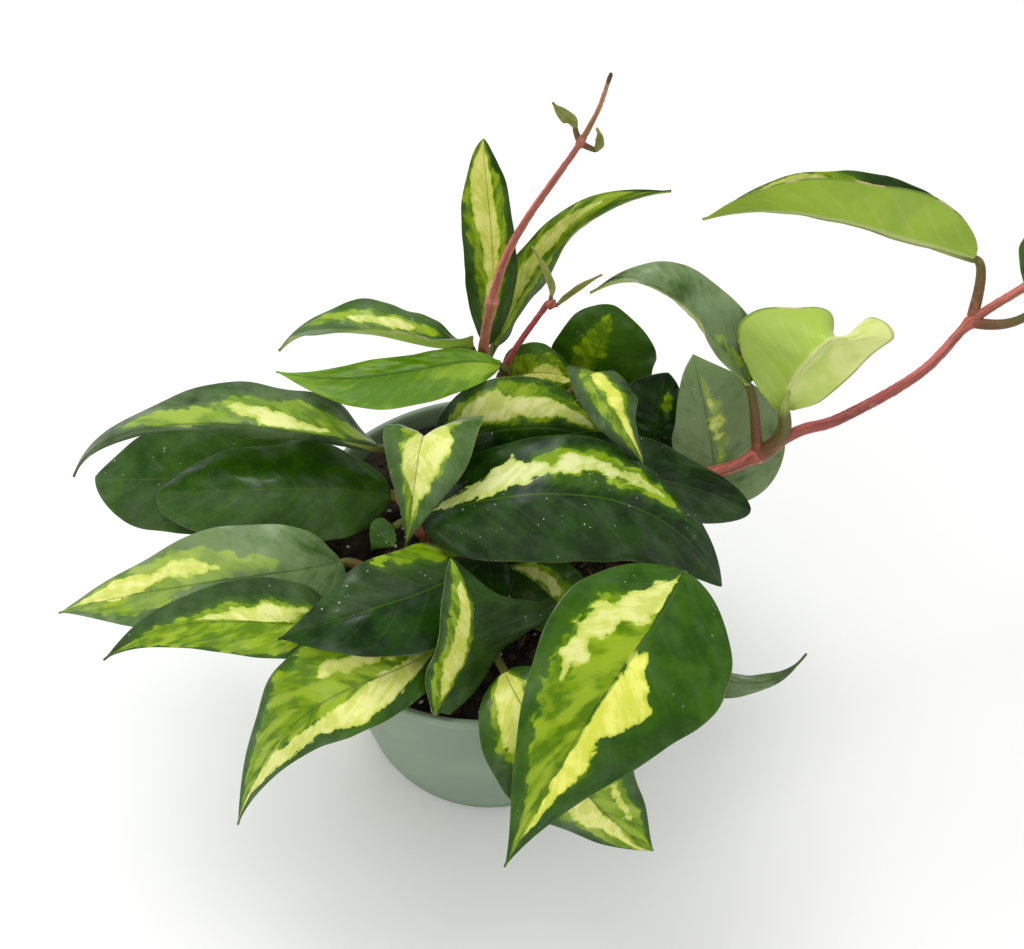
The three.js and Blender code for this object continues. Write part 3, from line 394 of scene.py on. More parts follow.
# Markings: each patch of cream or lime is a run of (place along the rib, left limit, right limit), all in
# hundredths, with the limits from -100 at the left edge to 100 at the right
MARKINGS = {
    "leaf_high_left": dict(
        deep=0.35, painted_sheen=(0.2, 0.2), warm=0.3, pale=(0.2, 0.2),
        cream=[[(34, 30, 45), (45, 20, 55), (55, 25, 50), (64, 35, 45)]],
        lime=[[(26, 25, 60), (42, 12, 64), (60, 20, 66), (78, 35, 80)]]),
    "leaf_young_left": dict(deep=0, lime=[[(2, -70, 0), (20, -70, 0), (38, -40, -10)]]),
    "leaf_upright": dict(
        deep=0.55, warm=0.6,
        cream=[[(20, -25, 0), (40, -28, 28), (50, -40, 38), (60, -55, 30), (75, -78, 32), (90, -80, 30),
            (96, -50, 10)]],
        lime=[[(12, -50, 20), (40, -60, 60), (60, -90, 70), (80, -100, 70), (97, -90, 40)]]),
    "leaf_swept_back": dict(
        deep=0.6, painted_sheen=(0.15, 0.3), warm=0.5,
        cream=[[(10, -30, 0), (30, -55, -10), (50, -75, -20), (70, -70, -40)]],
        lime=[[(5, -50, 50), (30, -85, 60), (50, -95, 40), (80, -95, 0)]]),
    "leaf_back_round": dict(
        deep=0.3, painted_sheen=(0.05, 0.05), lime=[[(16, -70, -30), (35, -62, 0), (60, -50, 12), (86, -30, 5)]]),
    "leaf_back_dark": dict(deep=0.85, painted_sheen=(0, 0), lime=[[(62, 20, 45), (74, 15, 50)]]),
    "leaf_right_sheen": dict(
        painted_sheen=(0.95, 0.9), warm=0.3, cream=[[(30, 6, 12), (45, 6, 20), (60, 6, 20), (70, 6, 12)]],
        lime=[[(16, 2, 10), (40, 2, 24), (62, 2, 26), (86, 4, 14)]]),
    "leaf_right_arm": dict(deep=0.4, painted_sheen=(0.95, 1), pale=(0.5, 0.2), lime=[[(4, 5, 30), (22, 5, 25)]]),
    "leaf_right_curled": dict(deep=0.3, pale=(1, 0.3)),
    "leaf_twisted": dict(
        deep=0.8, painted_sheen=(0.25, 0.3), warm=0.7,
        cream=[[(15, -50, -5), (40, -60, -10), (70, -50, -8), (92, -30, 0)]],
        lime=[[(15, -60, 50), (50, -70, 50), (95, -40, 30)]]),
    "leaf_pale_back": dict(
        deep=0.1, warm=0.6,
        cream=[[(30, 10, 40), (45, -10, 50), (60, -40, 30), (75, -30, 50), (85, 10, 80)]],
        lime=[[(2, -60, 95), (50, -70, 98), (70, -80, 98), (98, -50, 90)]]),
    "leaf_cream_arch": dict(
        deep=0.7, painted_sheen=(0.05, 0), warm=0.25,
        cream=[[(18, -60, -40), (30, -78, -20), (38, -85, -18), (44, -55, -20), (52, -58, -20),
            (62, -72, -26), (72, -68, -30), (82, -65, -42)]],
        lime=[[(14, -72, -30), (35, -92, -10), (60, -88, -15), (88, -85, -40)]]),
    "leaf_centre": dict(
        deep=0.85, painted_sheen=(0, 0.05), warm=0.1,
        cream=[[(5, -15, -4), (16, -32, -7), (25, -50, -8), (31, -70, -10), (36, -55, -20),
            (42, -45, -32), (48, -65, -34), (55, -60, -36), (63, -62, -40), (72, -64, -50)]],
        lime=[[(42, -70, -30), (55, -76, -30), (74, -76, -36)]]),
    "leaf_under_centre": dict(deep=0.9, painted_sheen=(0.02, 0.12)),
    "leaf_bent": dict(
        deep=0.45, painted_sheen=(0.35, 0.3), warm=0.35,
        cream=[[(36, -55, 30), (45, -60, 50), (52, -50, 55), (60, -50, 50), (69, -42, 10)]],
        lime=[[(30, -60, 50), (55, -60, 60), (75, -40, 50), (90, -30, 60)]]),
    "leaf_left_long": dict(
        deep=0.8, painted_sheen=(0.4, 0.4), warm=0.25,
        cream=[[(20, 3, 12), (30, 2, 25), (38, 5, 45), (46, 30, 50)]],
        lime=[[(8, 8, 40), (20, 3, 58), (30, 1, 66), (40, 4, 74), (48, 28, 60)],
            [(44, 5, 35), (60, -10, 40), (68, 5, 62), (74, 25, 50)]]),
    "leaf_left_under": dict(deep=0.55, painted_sheen=(0.14, 0.08)),
    "leaf_left_dark": dict(painted_sheen=(0.1, 0)),
    "leaf_left_pale": dict(
        deep=0.1, painted_sheen=(0.7, 0.75),
        cream=[[(50, 20, 32), (55, 15, 50), (63, 25, 60)], [(70, 15, 50), (80, -10, 75), (90, 10, 60)]],
        lime=[[(33, 5, 30), (45, 5, 52), (55, 0, 70), (65, -30, 80), (75, -60, 90), (85, -70, 85),
            (96, -40, 50)]]),
    "leaf_left_low": dict(
        deep=0.65, painted_sheen=(0.1, 0.15), warm=0.3,
        cream=[[(26, 20, 42), (35, 3, 42), (45, 1, 40), (55, 2, 32), (66, 4, 14)]],
        lime=[[(24, 0, 45), (32, -90, 48), (60, -95, 40), (85, -90, 5)]]),
    "leaf_mid_dark": dict(deep=1.1, painted_sheen=(0, 0.1), lime=[[(3, 35, 80), (30, 50, 95), (52, 80, 98)]]),
    "leaf_front_left": dict(
        deep=0.3, painted_sheen=(0.05, 0),
        cream=[[(3, -10, 10), (10, -25, 10), (20, -45, 10), (30, -70, 0), (40, -85, -15), (50, -75, -25),
            (60, -65, -30), (70, -80, -30), (85, -75, -15), (95, -30, 0)],
            [(22, 20, 30), (30, 22, 42), (40, 25, 55), (48, 35, 50)]],
        lime=[[(8, 0, 40), (20, 0, 70), (40, -30, 82), (60, -35, 90), (92, -30, 50)]]),
    "leaf_folded": dict(
        deep=0.7, painted_sheen=(0.15, 0.1), warm=0.5, cream=[[(15, -50, -5), (45, -60, -5), (80, -40, -5)]],
        lime=[[(5, -80, 0), (50, -80, 2), (95, -60, 0)]]),
    "leaf_front_big": dict(
        deep=0.3, painted_sheen=(0, 0), warm=0.85, cooler=0.5,
        cream=[[(6, 5, 20), (16, 4, 42), (27, 6, 56), (31, 28, 66), (40, 42, 70), (52, 48, 68)],
            [(30, -4, 0), (42, -24, 0), (50, -48, 0), (58, -50, 0), (65, -32, -1), (74, -42, -3),
            (90, -40, -10)]],
        lime=[[(26, 2, 66), (50, 2, 78), (76, 0, 70)], [(74, -50, 40), (94, -20, 40)]]),
    "leaf_front_under": dict(
        deep=0.55, warm=0.5,
        cream=[[(2, -30, 50), (30, -30, 60)], [(64, -60, -40), (78, -50, -35)],
            [(62, 0, 50), (72, 5, 60), (80, 5, 35), (88, 20, 50), (95, 50, 80)]],
        lime=[[(2, -40, 65), (34, -40, 70)], [(60, -70, 70), (80, -75, 70), (97, -60, 90)]]),
    "leaf_right_low": dict(deep=0.75, painted_sheen=(0.4, 0.6)),
    "leaf_inner": dict(warm=0.2, cream=[[(36, 10, 40), (85, 12, 45)]], lime=[[(30, 0, 60), (90, 0, 60)]]),
    "leaf_far_arch": dict(
        deep=0.65, pale=(0.15, 0.15), cream=[[(58, 75, 95), (76, 78, 95)]],
        lime=[[(50, 65, 98), (80, 70, 98)]]),
    "leaf_far_right": dict(
        deep=0.4, warm=0.5, cream=[[(20, 10, 30), (40, 5, 45), (62, 10, 25)]],
        lime=[[(12, 2, 40), (45, -10, 60), (75, 0, 40)]]),
    "leaf_inner_small": dict(deep=0.1),
    "leaf_back_low": dict(
        cream=[[(25, -40, -8), (50, -50, -10), (70, -30, -10)]],
        lime=[[(15, -60, 10), (50, -70, 30), (82, -40, 20)]]),
    "leaf_back_right": dict(
        deep=0.6, warm=0.3, cream=[[(20, 5, 30), (45, 8, 50), (65, 10, 30)]],
        lime=[[(12, -10, 50), (50, -20, 65), (80, 0, 50)]]),
}


def mixed(low, high, share):
    """The value a share of the way from low to high."""
    return low + (high - low) * share


def ramp(value, low, high):
    """0 below low, 1 above high, and a smooth step between them."""
    share = min(max((value - low) / (high - low), 0), 1)
    return share * share * (3 - 2 * share)


# Meshes


def new_mesh():
    """A bmesh with the layers that the materials read."""
    bm = bmesh.new()
    bm.loops.layers.uv.new("UVMap")
    for name in VECTOR_LAYERS:
        bm.verts.layers.float_vector.new(name)
    for name in NUMBER_LAYERS:
        bm.verts.layers.float.new(name)
    return bm


def vertex_layers(bm):
    """The layers that the materials read, by name."""
    layers = bm.verts.layers
    vectors = {name: layers.float_vector[name] for name in VECTOR_LAYERS}
    return {**vectors, **{name: layers.float[name] for name in NUMBER_LAYERS}}


def face_outward(bm, faces):
    """Turns a closed shape's faces outward, told by the sign of the volume that they enclose."""
    volume = 0
    for face in faces:
        face.normal_update()
        volume += face.calc_center_median().dot(face.normal) * face.calc_area()
    if volume < 0:
        bmesh.ops.reverse_faces(bm, faces=faces)


def skin(bm, rows, columns, place):
    """A sheet of rows by columns faces, each vertex moved to place(row, column), closed into a tube."""
    grid = bmesh.ops.create_grid(bm, x_segments=rows, y_segments=columns, size=0.5, calc_uvs=True)
    made = grid["verts"]
    for vertex in made:
        row = round((vertex.co.x + 0.5) * rows)
        column = round((vertex.co.y + 0.5) * columns)
        vertex.co = place(row, column, vertex)
    faces = list({face for vertex in made for face in vertex.link_faces})
    bmesh.ops.remove_doubles(bm, verts=made, dist=MERGE_DISTANCE)
    faces = [face for face in faces if face.is_valid]
    face_outward(bm, faces)
    return faces


def as_mesh(bm, name):
    """The bmesh as a mesh that an object can hold."""
    mesh = bpy.data.meshes.new(name)
    bm.to_mesh(mesh)
    bm.free()
    return mesh


def placed(name, data):
    """An object that holds the data, in the scene."""
    thing = bpy.data.objects.new(name, data)
    bpy.context.scene.collection.objects.link(thing)
    return thing


def finished(bm, name, slot_name, node, looks):
    """The bmesh as a smooth piece that rides on the plant and stands for its node."""
    for face in bm.faces:
        face.smooth = True
    mesh = as_mesh(bm, name)
    for look in looks:
        mesh.materials.append(material(look))
    piece = placed(name, mesh)
    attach(piece, BODY)
    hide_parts(node)
    return piece


# Stems


def curve_point(points, position):
    """A point on the smooth curve through the points; position counts points from the first."""
    index = min(int(position), len(points) - 2)
    share = position - index
    before = points[index - 1] if index > 0 else points[0] * 2 - points[1]
    start, end = points[index], points[index + 1]
    after = points[index + 2] if index + 2 < len(points) else points[-1] * 2 - points[-2]
    leave = (end - before) * 0.5
    arrive = (after - start) * 0.5
    bend = end * 3 - start * 3 - leave * 2 - arrive
    close = start * 2 - end * 2 + leave + arrive
    return start + leave * share + bend * share ** 2 + close * share ** 3


def path_lengths(path):
    """The length from the first point of a path to each of its points."""
    lengths = [0.0]
    for start, end in zip(path, path[1:]):
        lengths.append(lengths[-1] + (end - start).length)
    return lengths


def turning_frames(path):
    """Centre, side and across directions along a path, turning no more than the path does."""
    side = FIRST_SIDE
    frames = []
    for index, centre in enumerate(path):
        along = (path[min(index + 1, len(path) - 1)] - path[max(index - 1, 0)]).normalized()
        side = (side - along * side.dot(along)).normalized()
        frames.append((centre, side, along.cross(side)))
    return frames


def tube(bm, path, radii, sides, look, roughness=0.0):
    """A closed tube round a path, drawn together at both ends; look(row) goes to its look layer."""
    layers = vertex_layers(bm)
    frames = turning_frames(path)
    last = len(path) - 1

    def place(row, column, vertex):
        centre, side, across = frames[row]
        turn = FULL_TURN * (column % sides) / sides
        vertex[layers["blade"]] = (row / last, math.cos(turn), math.sin(turn))
        vertex[layers["look"]] = look(row)
        if row in (0, last):
            return centre * MM
        out = side * math.cos(turn) + across * math.sin(turn)
        spot = centre + out * radii[row]
        rough = roughness * noise.noise(spot * COARSE_SKIN)
        rough += roughness * FINE_SKIN_SHARE * noise.noise(spot * FINE_SKIN)
        return (spot + out * rough) * MM

    return skin(bm, last, sides, place)


def nearness(at, marks, reach):
    """1 at the nearest of the marks, falling to 0 within a few reaches of it."""
    return max((math.exp(-((at - mark) / reach) ** 2) for mark in marks), default=0)


def collar_rise(at, collars):
    """The flare of a collar: it widens slowly up to its rim and drops back behind it."""
    reaches = [COLLAR_FLARE if at < rim else COLLAR_DROP for rim in collars]
    return max((nearness(at, [rim], reach) for rim, reach in zip(collars, reaches)), default=0)


def at_point(values, position):
    """The value between the listed ones; position counts them from the first."""
    index = min(int(position), len(values) - 2)
    return mixed(values[index], values[index + 1], position - index)


def even_path(points, spacing):
    """Even steps along the smooth curve, each its spot, its place among the given points and the length
    up to it; and the length up to each of the given points."""
    count = (len(points) - 1) * CURVE_STEPS
    curve = [curve_point(points, index / CURVE_STEPS) for index in range(count + 1)]
    lengths = path_lengths(curve)
    steps = int(lengths[-1] / spacing)
    path = []
    index = 0
    for step in range(steps + 1):
        at = lengths[-1] * step / steps
        while index < count - 1 and lengths[index + 1] < at:
            index += 1
        share = min((at - lengths[index]) / max(lengths[index + 1] - lengths[index], NEARLY_ZERO), 1)
        path.append((curve[index].lerp(curve[index + 1], share), (index + share) / CURVE_STEPS, at))
    return path, [lengths[CURVE_STEPS * index] for index in range(len(points))]


def stem_tube(bm, stem):
    """The stem itself, with its swollen nodes and its collars."""
    path, marks = even_path([Vector(point) for point in stem["points"]], STEM_SPACING)
    nodes = [marks[index] for index in stem["nodes"]]
    collars = [marks[index] for index in stem["collars"]]
    full = path[-1][2]
    spots, radii, looks = [], [], []
    for spot, position, at in path:
        swell = 1 + NODE_SWELL * nearness(at, nodes, NODE_LENGTH) + COLLAR_SWELL * collar_rise(at, collars)
        end = ramp(full - at, 0, STEM_END) * 0.5 + 0.5
        spots.append(spot)
        radii.append(mixed(*stem["radii"], at / full) * swell * end)
        tone = at_point(stem["tones"], position)
        looks.append((tone, nearness(at, collars, COLLAR_TINT), nearness(at, nodes, NODE_TINT)))
    tube(bm, spots, radii, STEM_SIDES, looks.__getitem__, STEM_ROUGHNESS)


def make_stem(name, stem):
    """One stem with its young leaflets."""
    bm = new_mesh()
    stem_tube(bm, stem)
    for leaflet in LEAFLETS:
        if leaflet["stem"] == name:
            leaf = {**YOUNG_LEAFLET, **leaflet}
            leaf_shape(bm, name + "_leaflet", leaf, LEAFLET_ROWS, LEAFLET_COLUMNS, 1)
    finished(bm, name + "_vine", "stem", name, ["stem", "leaflet", "stalk"])


# Leaves


def rib_point(rib, u):
    """A point on the midrib's curve, which runs through its four points."""
    weights = (
        (1 - 3 * u) * (2 - 3 * u) * (1 - u) / 2,
        9 * u * (1 - u) * (2 - 3 * u) / 2,
        9 * u * (1 - u) * (3 * u - 1) / 2,
        u * (3 * u - 1) * (3 * u - 2) / 2,
    )
    return sum((Vector(corner) * weight for corner, weight in zip(rib, weights)), Vector())


def rib_frame(leaf, u):
    """The midrib's point, and the leaf's directions along, up and right there."""
    ahead, behind = rib_point(leaf["rib"], u + RIB_STEP), rib_point(leaf["rib"], u - RIB_STEP)
    along = (ahead - behind).normalized()
    tip = Vector(leaf.get("face_tip", leaf["face"])).normalized()
    up = Vector(leaf["face"]).normalized().lerp(tip, u)
    up = (up - along * up.dot(along)).normalized()
    return rib_point(leaf["rib"], u), along, up, along.cross(up)


def outline(leaf, u):
    """Share of the widest half: blunt at the stalk and drawn out to a point at the tip."""
    widest = leaf["widest"]
    if u < widest:
        return (1 - ((widest - u) / widest) ** ROOT_ROUNDING) ** leaf["base"]
    return (1 - ((u - widest) / (1 - widest)) ** TIP_ROUNDING) ** leaf["point"]


def across_half(reach, fold, cup, share):
    """Place and lean across a half, whose angle starts at fold and changes by cup."""
    start = math.radians(fold)
    bend = math.radians(cup) or NEARLY_ZERO
    lean = start + bend * share
    out = reach * (math.sin(lean) - math.sin(start)) / bend
    rise = reach * (math.cos(start) - math.cos(lean)) / bend
    return out, rise, lean


def blade_columns(columns):
    """The place of each column round the blade: across from -1 to 1, and upper side 1 to under -1."""
    turns = [FULL_TURN * (column % columns) / columns for column in range(columns + 1)]
    return [(-math.cos(turn), math.sin(turn)) for turn in turns]


def blade_row(leaf, u):
    """What all the points of one row across a blade share."""
    centre, along, up, right = rib_frame(leaf, u)
    row = dict(u=u, centre=centre, up=up, right=right, share=outline(leaf, u))
    if "left" in leaf:
        row["margins"] = margins(leaf, u, centre, along, right)
        return row
    least = mixed(min(ROOT_HALF, leaf["width"] / 4), TIP_HALF, u)
    row["reach"] = []
    for side, half in enumerate(leaf["halves"]):
        uneven = 1 + MARGIN_UNEVEN * noise.noise(Vector((u * 8, side * 5, leaf["width"])))
        row["reach"].append(max(leaf["width"] / 2 * row["share"] * half * uneven, least))
    fold_tip = leaf.get("fold_tip", leaf["fold"])
    row["fold"] = [mixed(first, last, u) for first, last in zip(leaf["fold"], fold_tip)]
    return row


def margins(leaf, u, centre, along, right):
    """For each half of a blade with drawn margins, the way to its margin and the way it faces."""
    found = []
    for sign, name in ((-1, "left"), (1, "right")):
        points = [Vector(point) for point in leaf[name]]
        spot = curve_point(points, u * (len(points) - 1))
        reach = spot - centre + right * (sign * mixed(ROOT_HALF, TIP_HALF, u))
        found.append((reach, (reach.cross(along) * sign).normalized()))
    return found


def half_point(leaf, row, half, share):
    """A point of a half's middle sheet and the way it faces there, before any relief."""
    sign = 2 * half - 1
    if "margins" in row:
        reach, normal = row["margins"][half]
        arch = 4 * leaf["bulge"][half] * share * (1 - share)
        return row["centre"] + reach * share + normal * arch, normal
    out, rise, lean = across_half(row["reach"][half], row["fold"][half], leaf["cup"][half], share)
    normal = row["up"] * math.cos(lean) - row["right"] * (sign * math.sin(lean))
    return row["centre"] + row["right"] * (sign * out) + row["up"] * rise, normal


def relief(leaf, row, across, seed, wavy):
    """How far a spot is raised by the blade's waves and by the puckers between its veins."""
    u = row["u"]
    sign = -1 if across < 0 else 1
    wave = across * across * math.sin(FULL_TURN * (WAVE_COUNT * u + seed + WAVE_SHIFT * sign))
    ripple = RIPPLE * noise.noise(Vector((u * 9, across * 3, seed * 7)))
    band = math.cos(FULL_TURN * (SIDE_VEINS * (u - VEIN_SLANT * abs(across)) + seed))
    pucker = PUCKER * band * 4 * abs(across) * (1 - abs(across))
    return wavy * row["share"] * (leaf["wave"] * wave + ripple + pucker)


def blade_point(leaf, row, across, side, seed, wavy):
    """A point of the blade's surface, with the rib's groove above, its keel below and rounded edges."""
    share = abs(across)
    half = 0 if across < 0 else 1
    middle, normal = half_point(leaf, row, half, share)
    other = half_point(leaf, row, 1 - half, 0)[1]
    normal = ((normal + other) / 2).lerp(normal, ramp(share, 0, RIB_BLEND)).normalized()
    distance = (middle - row["centre"]).length
    fading = wavy * (1 - row["u"])
    middle = middle + normal * relief(leaf, row, across, seed, wavy)
    thickness = min(LEAF_THICKNESS, THICKNESS_SHARE * leaf["width"])
    thickness = thickness * abs(side) ** EDGE_ROUNDING * mixed(1, EDGE_THINNING, share)
    if side >= 0:
        groove = RIB_DEPTH * fading * math.exp(-(distance / RIB_WIDTH) ** 2)
        return middle + normal * (thickness / 2 - groove)
    keel = KEEL_DEPTH * fading * math.exp(-(distance / KEEL_WIDTH) ** 2)
    return middle - normal * (thickness / 2 + keel)


def inside(gap, limit):
    """The distance inside a limit, made steep at the rib, where a patch ends in a straight line."""
    return gap * (RIB_LIMIT_SLOPE if abs(limit) < RIB_LIMIT else 1)


def patch_depth(spans, u, across):
    """How far a spot lies inside a patch: above 0 inside, below 0 outside, in shares of the half."""
    first, last = spans[0], spans[-1]
    past = max(first[0] - u, u - last[0], 0) * PATCH_END_SLOPE
    low, high = (first if u <= first[0] else last)[1:]
    for start, end in zip(spans, spans[1:]):
        if start[0] < u <= end[0] and u < last[0]:
            share = (u - start[0]) / (end[0] - start[0])
            low, high = mixed(start[1], end[1], share), mixed(start[2], end[2], share)
    return min(inside(across - low, low), inside(high - across, high)) - past


def marking(leaf, kind, u, across):
    """The deepest of a leaf's patches of one kind at a spot."""
    return max((patch_depth(spans, u, across) for spans in leaf[kind]), default=-1)


def blade(bm, leaf, rows, columns, seed, wavy):
    """The blade: upper side, rounded edge and underside as one closed skin."""
    layers = vertex_layers(bm)
    turns = [math.pi * mixed(BLADE_START, BLADE_END, row / rows) for row in range(rows + 1)]
    shared = [blade_row(leaf, 0.5 - 0.5 * math.cos(turn)) for turn in turns]
    around = blade_columns(columns)

    def place(row, column, vertex):
        across, side = around[column]
        u = shared[row]["u"]
        half = 0 if across < 0 else 1
        warm = leaf["warm"] - (leaf["cooler"] if across > 0 else 0)
        vertex[layers["blade"]] = (u, across, side)
        vertex[layers["look"]] = (seed, leaf["pale"][half], warm)
        vertex[layers["deep"]] = leaf["deep"]
        vertex[layers["painted_sheen"]] = leaf["painted_sheen"][half]
        for kind in ("cream", "lime"):
            vertex[layers[kind]] = marking(leaf, kind, u, across)
        if row in (0, rows):
            return shared[row]["centre"] * MM
        return blade_point(leaf, shared[row], across, side, seed, wavy) * MM

    return skin(bm, rows, columns, place)


def stalk(bm, leaf, seed):
    """The stalk, from the stem's node to the blade, where it runs on thinly below the midrib."""
    start = Vector(STEMS[leaf["stem"]]["points"][leaf["at"]])
    root, along, up, _ = rib_frame(leaf, 0)
    handle = root - along * (leaf["bow"] * (root - start).length)
    if "via" in leaf:
        handle = Vector(leaf["via"])
    path, radii = [], []
    for row in range(STALK_ROWS):
        t = row / STALK_ROWS
        radii.append(leaf["stalk"] * mixed(1, STALK_TAPER, t))
        drop = up * ((radii[-1] + STALK_BELOW) * t ** 3)
        path.append(start * (1 - t) ** 2 + handle * (2 * t * (1 - t)) + root * t ** 2 - drop)
    for row in range(KEEL_ROWS + 1):
        t = row / KEEL_ROWS
        radii.append(leaf["stalk"] * mixed(STALK_TAPER, KEEL_TAPER, t))
        centre, _, up, _ = rib_frame(leaf, KEEL_REACH * t)
        path.append(centre - up * (radii[-1] + STALK_BELOW))
    last = len(path) - 1
    return tube(bm, path, radii, STALK_SIDES, lambda row: (row / last, seed, 0), STALK_ROUGHNESS)


def leaf_shape(bm, name, leaf, rows, columns, slot_shift):
    """A blade and its stalk; slot_shift counts the materials that come before the leaf's two."""
    seed = random.Random(name).random()
    wavy = 1 if leaf["width"] > SMALL_LEAF else SMALL_RELIEF
    for face in blade(bm, leaf, rows, columns, seed, wavy):
        face.material_index = slot_shift
    for face in stalk(bm, leaf, seed):
        face.material_index = slot_shift + 1


def make_leaf(name):
    """One leaf with its stalk as a piece."""
    bm = new_mesh()
    leaf = {**PLAIN_LEAF, **LEAVES[name], **MARKINGS[name]}
    for kind in ("cream", "lime"):
        leaf[kind] = [[[part / 100 for part in spot] for spot in patch] for patch in leaf[kind]]
    leaf_shape(bm, name, leaf, BLADE_ROWS, BLADE_COLUMNS, 0)
    finished(bm, name + "_blade", leaf["skin"], name, [leaf["skin"], "stalk"])


# Pot and soil


def inner_radius(z):
    """The pot's inside radius at a height."""
    bottom = BASE_RADIUS - WALL
    top = RIM_RADIUS - COLLAR_OUT - WALL
    return bottom + (top - bottom) * z / (POT_HEIGHT - COLLAR_DEPTH)


def outer_radius(z):
    """The pot's outside radius at a height between its foot and its collar."""
    rise = POT_HEIGHT - COLLAR_DEPTH - FOOT_HEIGHT
    slope = (RIM_RADIUS - COLLAR_OUT - BASE_RADIUS - FOOT_LEDGE) / rise
    return BASE_RADIUS + FOOT_LEDGE + slope * (z - FOOT_HEIGHT)


def pot_profile():
    """The wall's outline, from the middle of the underside, up the outside and down the inside."""
    step = POT_HEIGHT - COLLAR_DEPTH
    lip = POT_HEIGHT - LIP_DEPTH
    foot = (
        (-6, 0.5), (-5, 0), (-1.2, 0), (-0.4, 0.3), (0, 1.2), (0.3, FOOT_HEIGHT - 0.6),
        (0.6, FOOT_HEIGHT - 0.3), (FOOT_LEDGE, FOOT_HEIGHT))
    collar = (
        (-1.7, step + 0.4), (-1.5, step + 0.9), (-0.75, lip - 0.9), (-0.6, lip - 0.4), (-0.05, lip - 0.05),
        (0, lip + 0.2), (0, POT_HEIGHT - 0.4), (-0.4, POT_HEIGHT))
    inner_rim = RIM_RADIUS - WALL
    return [
        (0, 0.5),
        *((BASE_RADIUS + out, z) for out, z in foot),
        *((outer_radius(z), z) for z in (FOOT_HEIGHT + 1, 25, 50, step - 1)),
        (outer_radius(step) + 0.05, step),
        *((RIM_RADIUS + out, z) for out, z in collar),
        *((inner_rim - fall, z) for fall, z in ((0, POT_HEIGHT), (0.5, POT_HEIGHT - 0.4), (1.1, lip))),
        (inner_radius(step) + 0.2, step),
        *((inner_radius(z), z) for z in (step - 2, 40, FLOOR + 1)),
        (inner_radius(FLOOR) - 1, FLOOR),
        (0, FLOOR),
    ]


def spun(profile, steps):
    """The closed shape that a profile sweeps in a full turn about the upright axis."""
    bm = new_mesh()
    points = [bm.verts.new((radius * MM, 0, z * MM)) for radius, z in profile]
    edges = [bm.edges.new(pair) for pair in zip(points, points[1:])]
    bmesh.ops.spin(bm, geom=points + edges, cent=(0, 0, 0), axis=(0, 0, 1), angle=FULL_TURN,
                   steps=steps, use_merge=True)
    bmesh.ops.remove_doubles(bm, verts=bm.verts[:], dist=SPIN_MERGE_DISTANCE)
    bmesh.ops.recalc_face_normals(bm, faces=bm.faces[:])
    return bm


def drain_drills():
    """The ring of round drills that cut the drain holes."""
    bm = bmesh.new()
    for number in range(DRAIN_HOLES):
        turn = FULL_TURN * number / DRAIN_HOLES
        spot = Vector((DRAIN_CIRCLE * math.cos(turn), DRAIN_CIRCLE * math.sin(turn), FLOOR / 2)) * MM
        spot = Matrix.Translation(spot) @ Matrix.Rotation(turn + DRILL_TURN, 4, "Z")
        bmesh.ops.create_cone(bm, cap_ends=True, segments=DRILL_SIDES, radius1=DRAIN_RADIUS * MM,
                              radius2=DRAIN_RADIUS * MM, depth=DRILL_LENGTH * MM, matrix=spot)
    return placed("drills", as_mesh(bm, "drills"))


def drilled(piece):
    """Cuts the ring of drain holes through the floor of the pot."""
    drills = drain_drills()
    cut = piece.modifiers.new("drain", "BOOLEAN")
    cut.operation = "DIFFERENCE"
    cut.solver = "EXACT"
    cut.object = drills
    view = bpy.context.evaluated_depsgraph_get()
    whole = bpy.data.meshes.new_from_object(piece.evaluated_get(view))
    piece.modifiers.remove(cut)
    piece.data = whole
    whole.name = piece.name
    bpy.data.objects.remove(drills)
    whole.set_sharp_from_angle(angle=SHARP_ANGLE)


def make_pot():
    """The pot, turned in one piece and drilled."""
    drilled(finished(spun(pot_profile(), POT_STEPS), "turned_pot", "pot", "pot", ["pot"]))


def soil_height(x, y):
    """The lumpy top of the soil."""
    lumps = math.sin(0.31 * x + 1.3) * math.cos(0.27 * y) + 0.6 * math.sin(0.63 * x - 0.41 * y)
    return SOIL_TOP + SOIL_LUMP * lumps


def soil_surface(reach, turn):
    """A point on the rough top of the soil, which is smooth along the pot's wall."""
    wide = inner_radius(SOIL_TOP) - SOIL_GAP
    x, y = reach * math.cos(turn), reach * math.sin(turn)
    coarse = COARSE_GRIT * noise.noise(Vector((x, y, 0)) * COARSE_GRIT_SCALE)
    fine = FINE_GRIT * noise.noise(Vector((x, y, 4)) * FINE_GRIT_SCALE)
    smoothing = 1 - (reach / wide) ** 4
    back = SOIL_RISE * ramp(y, SOIL_RISE_FROM, SOIL_RISE_TO)
    return Vector((x, y, SOIL_TOP + back + (soil_height(x, y) - SOIL_TOP + (coarse + fine)) * smoothing))


def crumb(bm, kind, tone, spot, shape, stretch):
    """One rough lump of peat, bark or perlite, pressed into place."""
    lump = new_mesh()
    look = vertex_layers(lump)["look"]
    bmesh.ops.create_icosphere(lump, subdivisions=2, radius=1)
    for vertex in lump.verts:
        rough = 1 + CRUMB_ROUGHNESS * noise.noise(vertex.co * 1.6 + spot)
        vertex.co = (shape @ (vertex.co * rough * stretch) + spot) * MM
        vertex[look] = (kind, tone, 0)
    mesh = as_mesh(lump, "crumb")
    bm.from_mesh(mesh)
    bpy.data.meshes.remove(mesh)


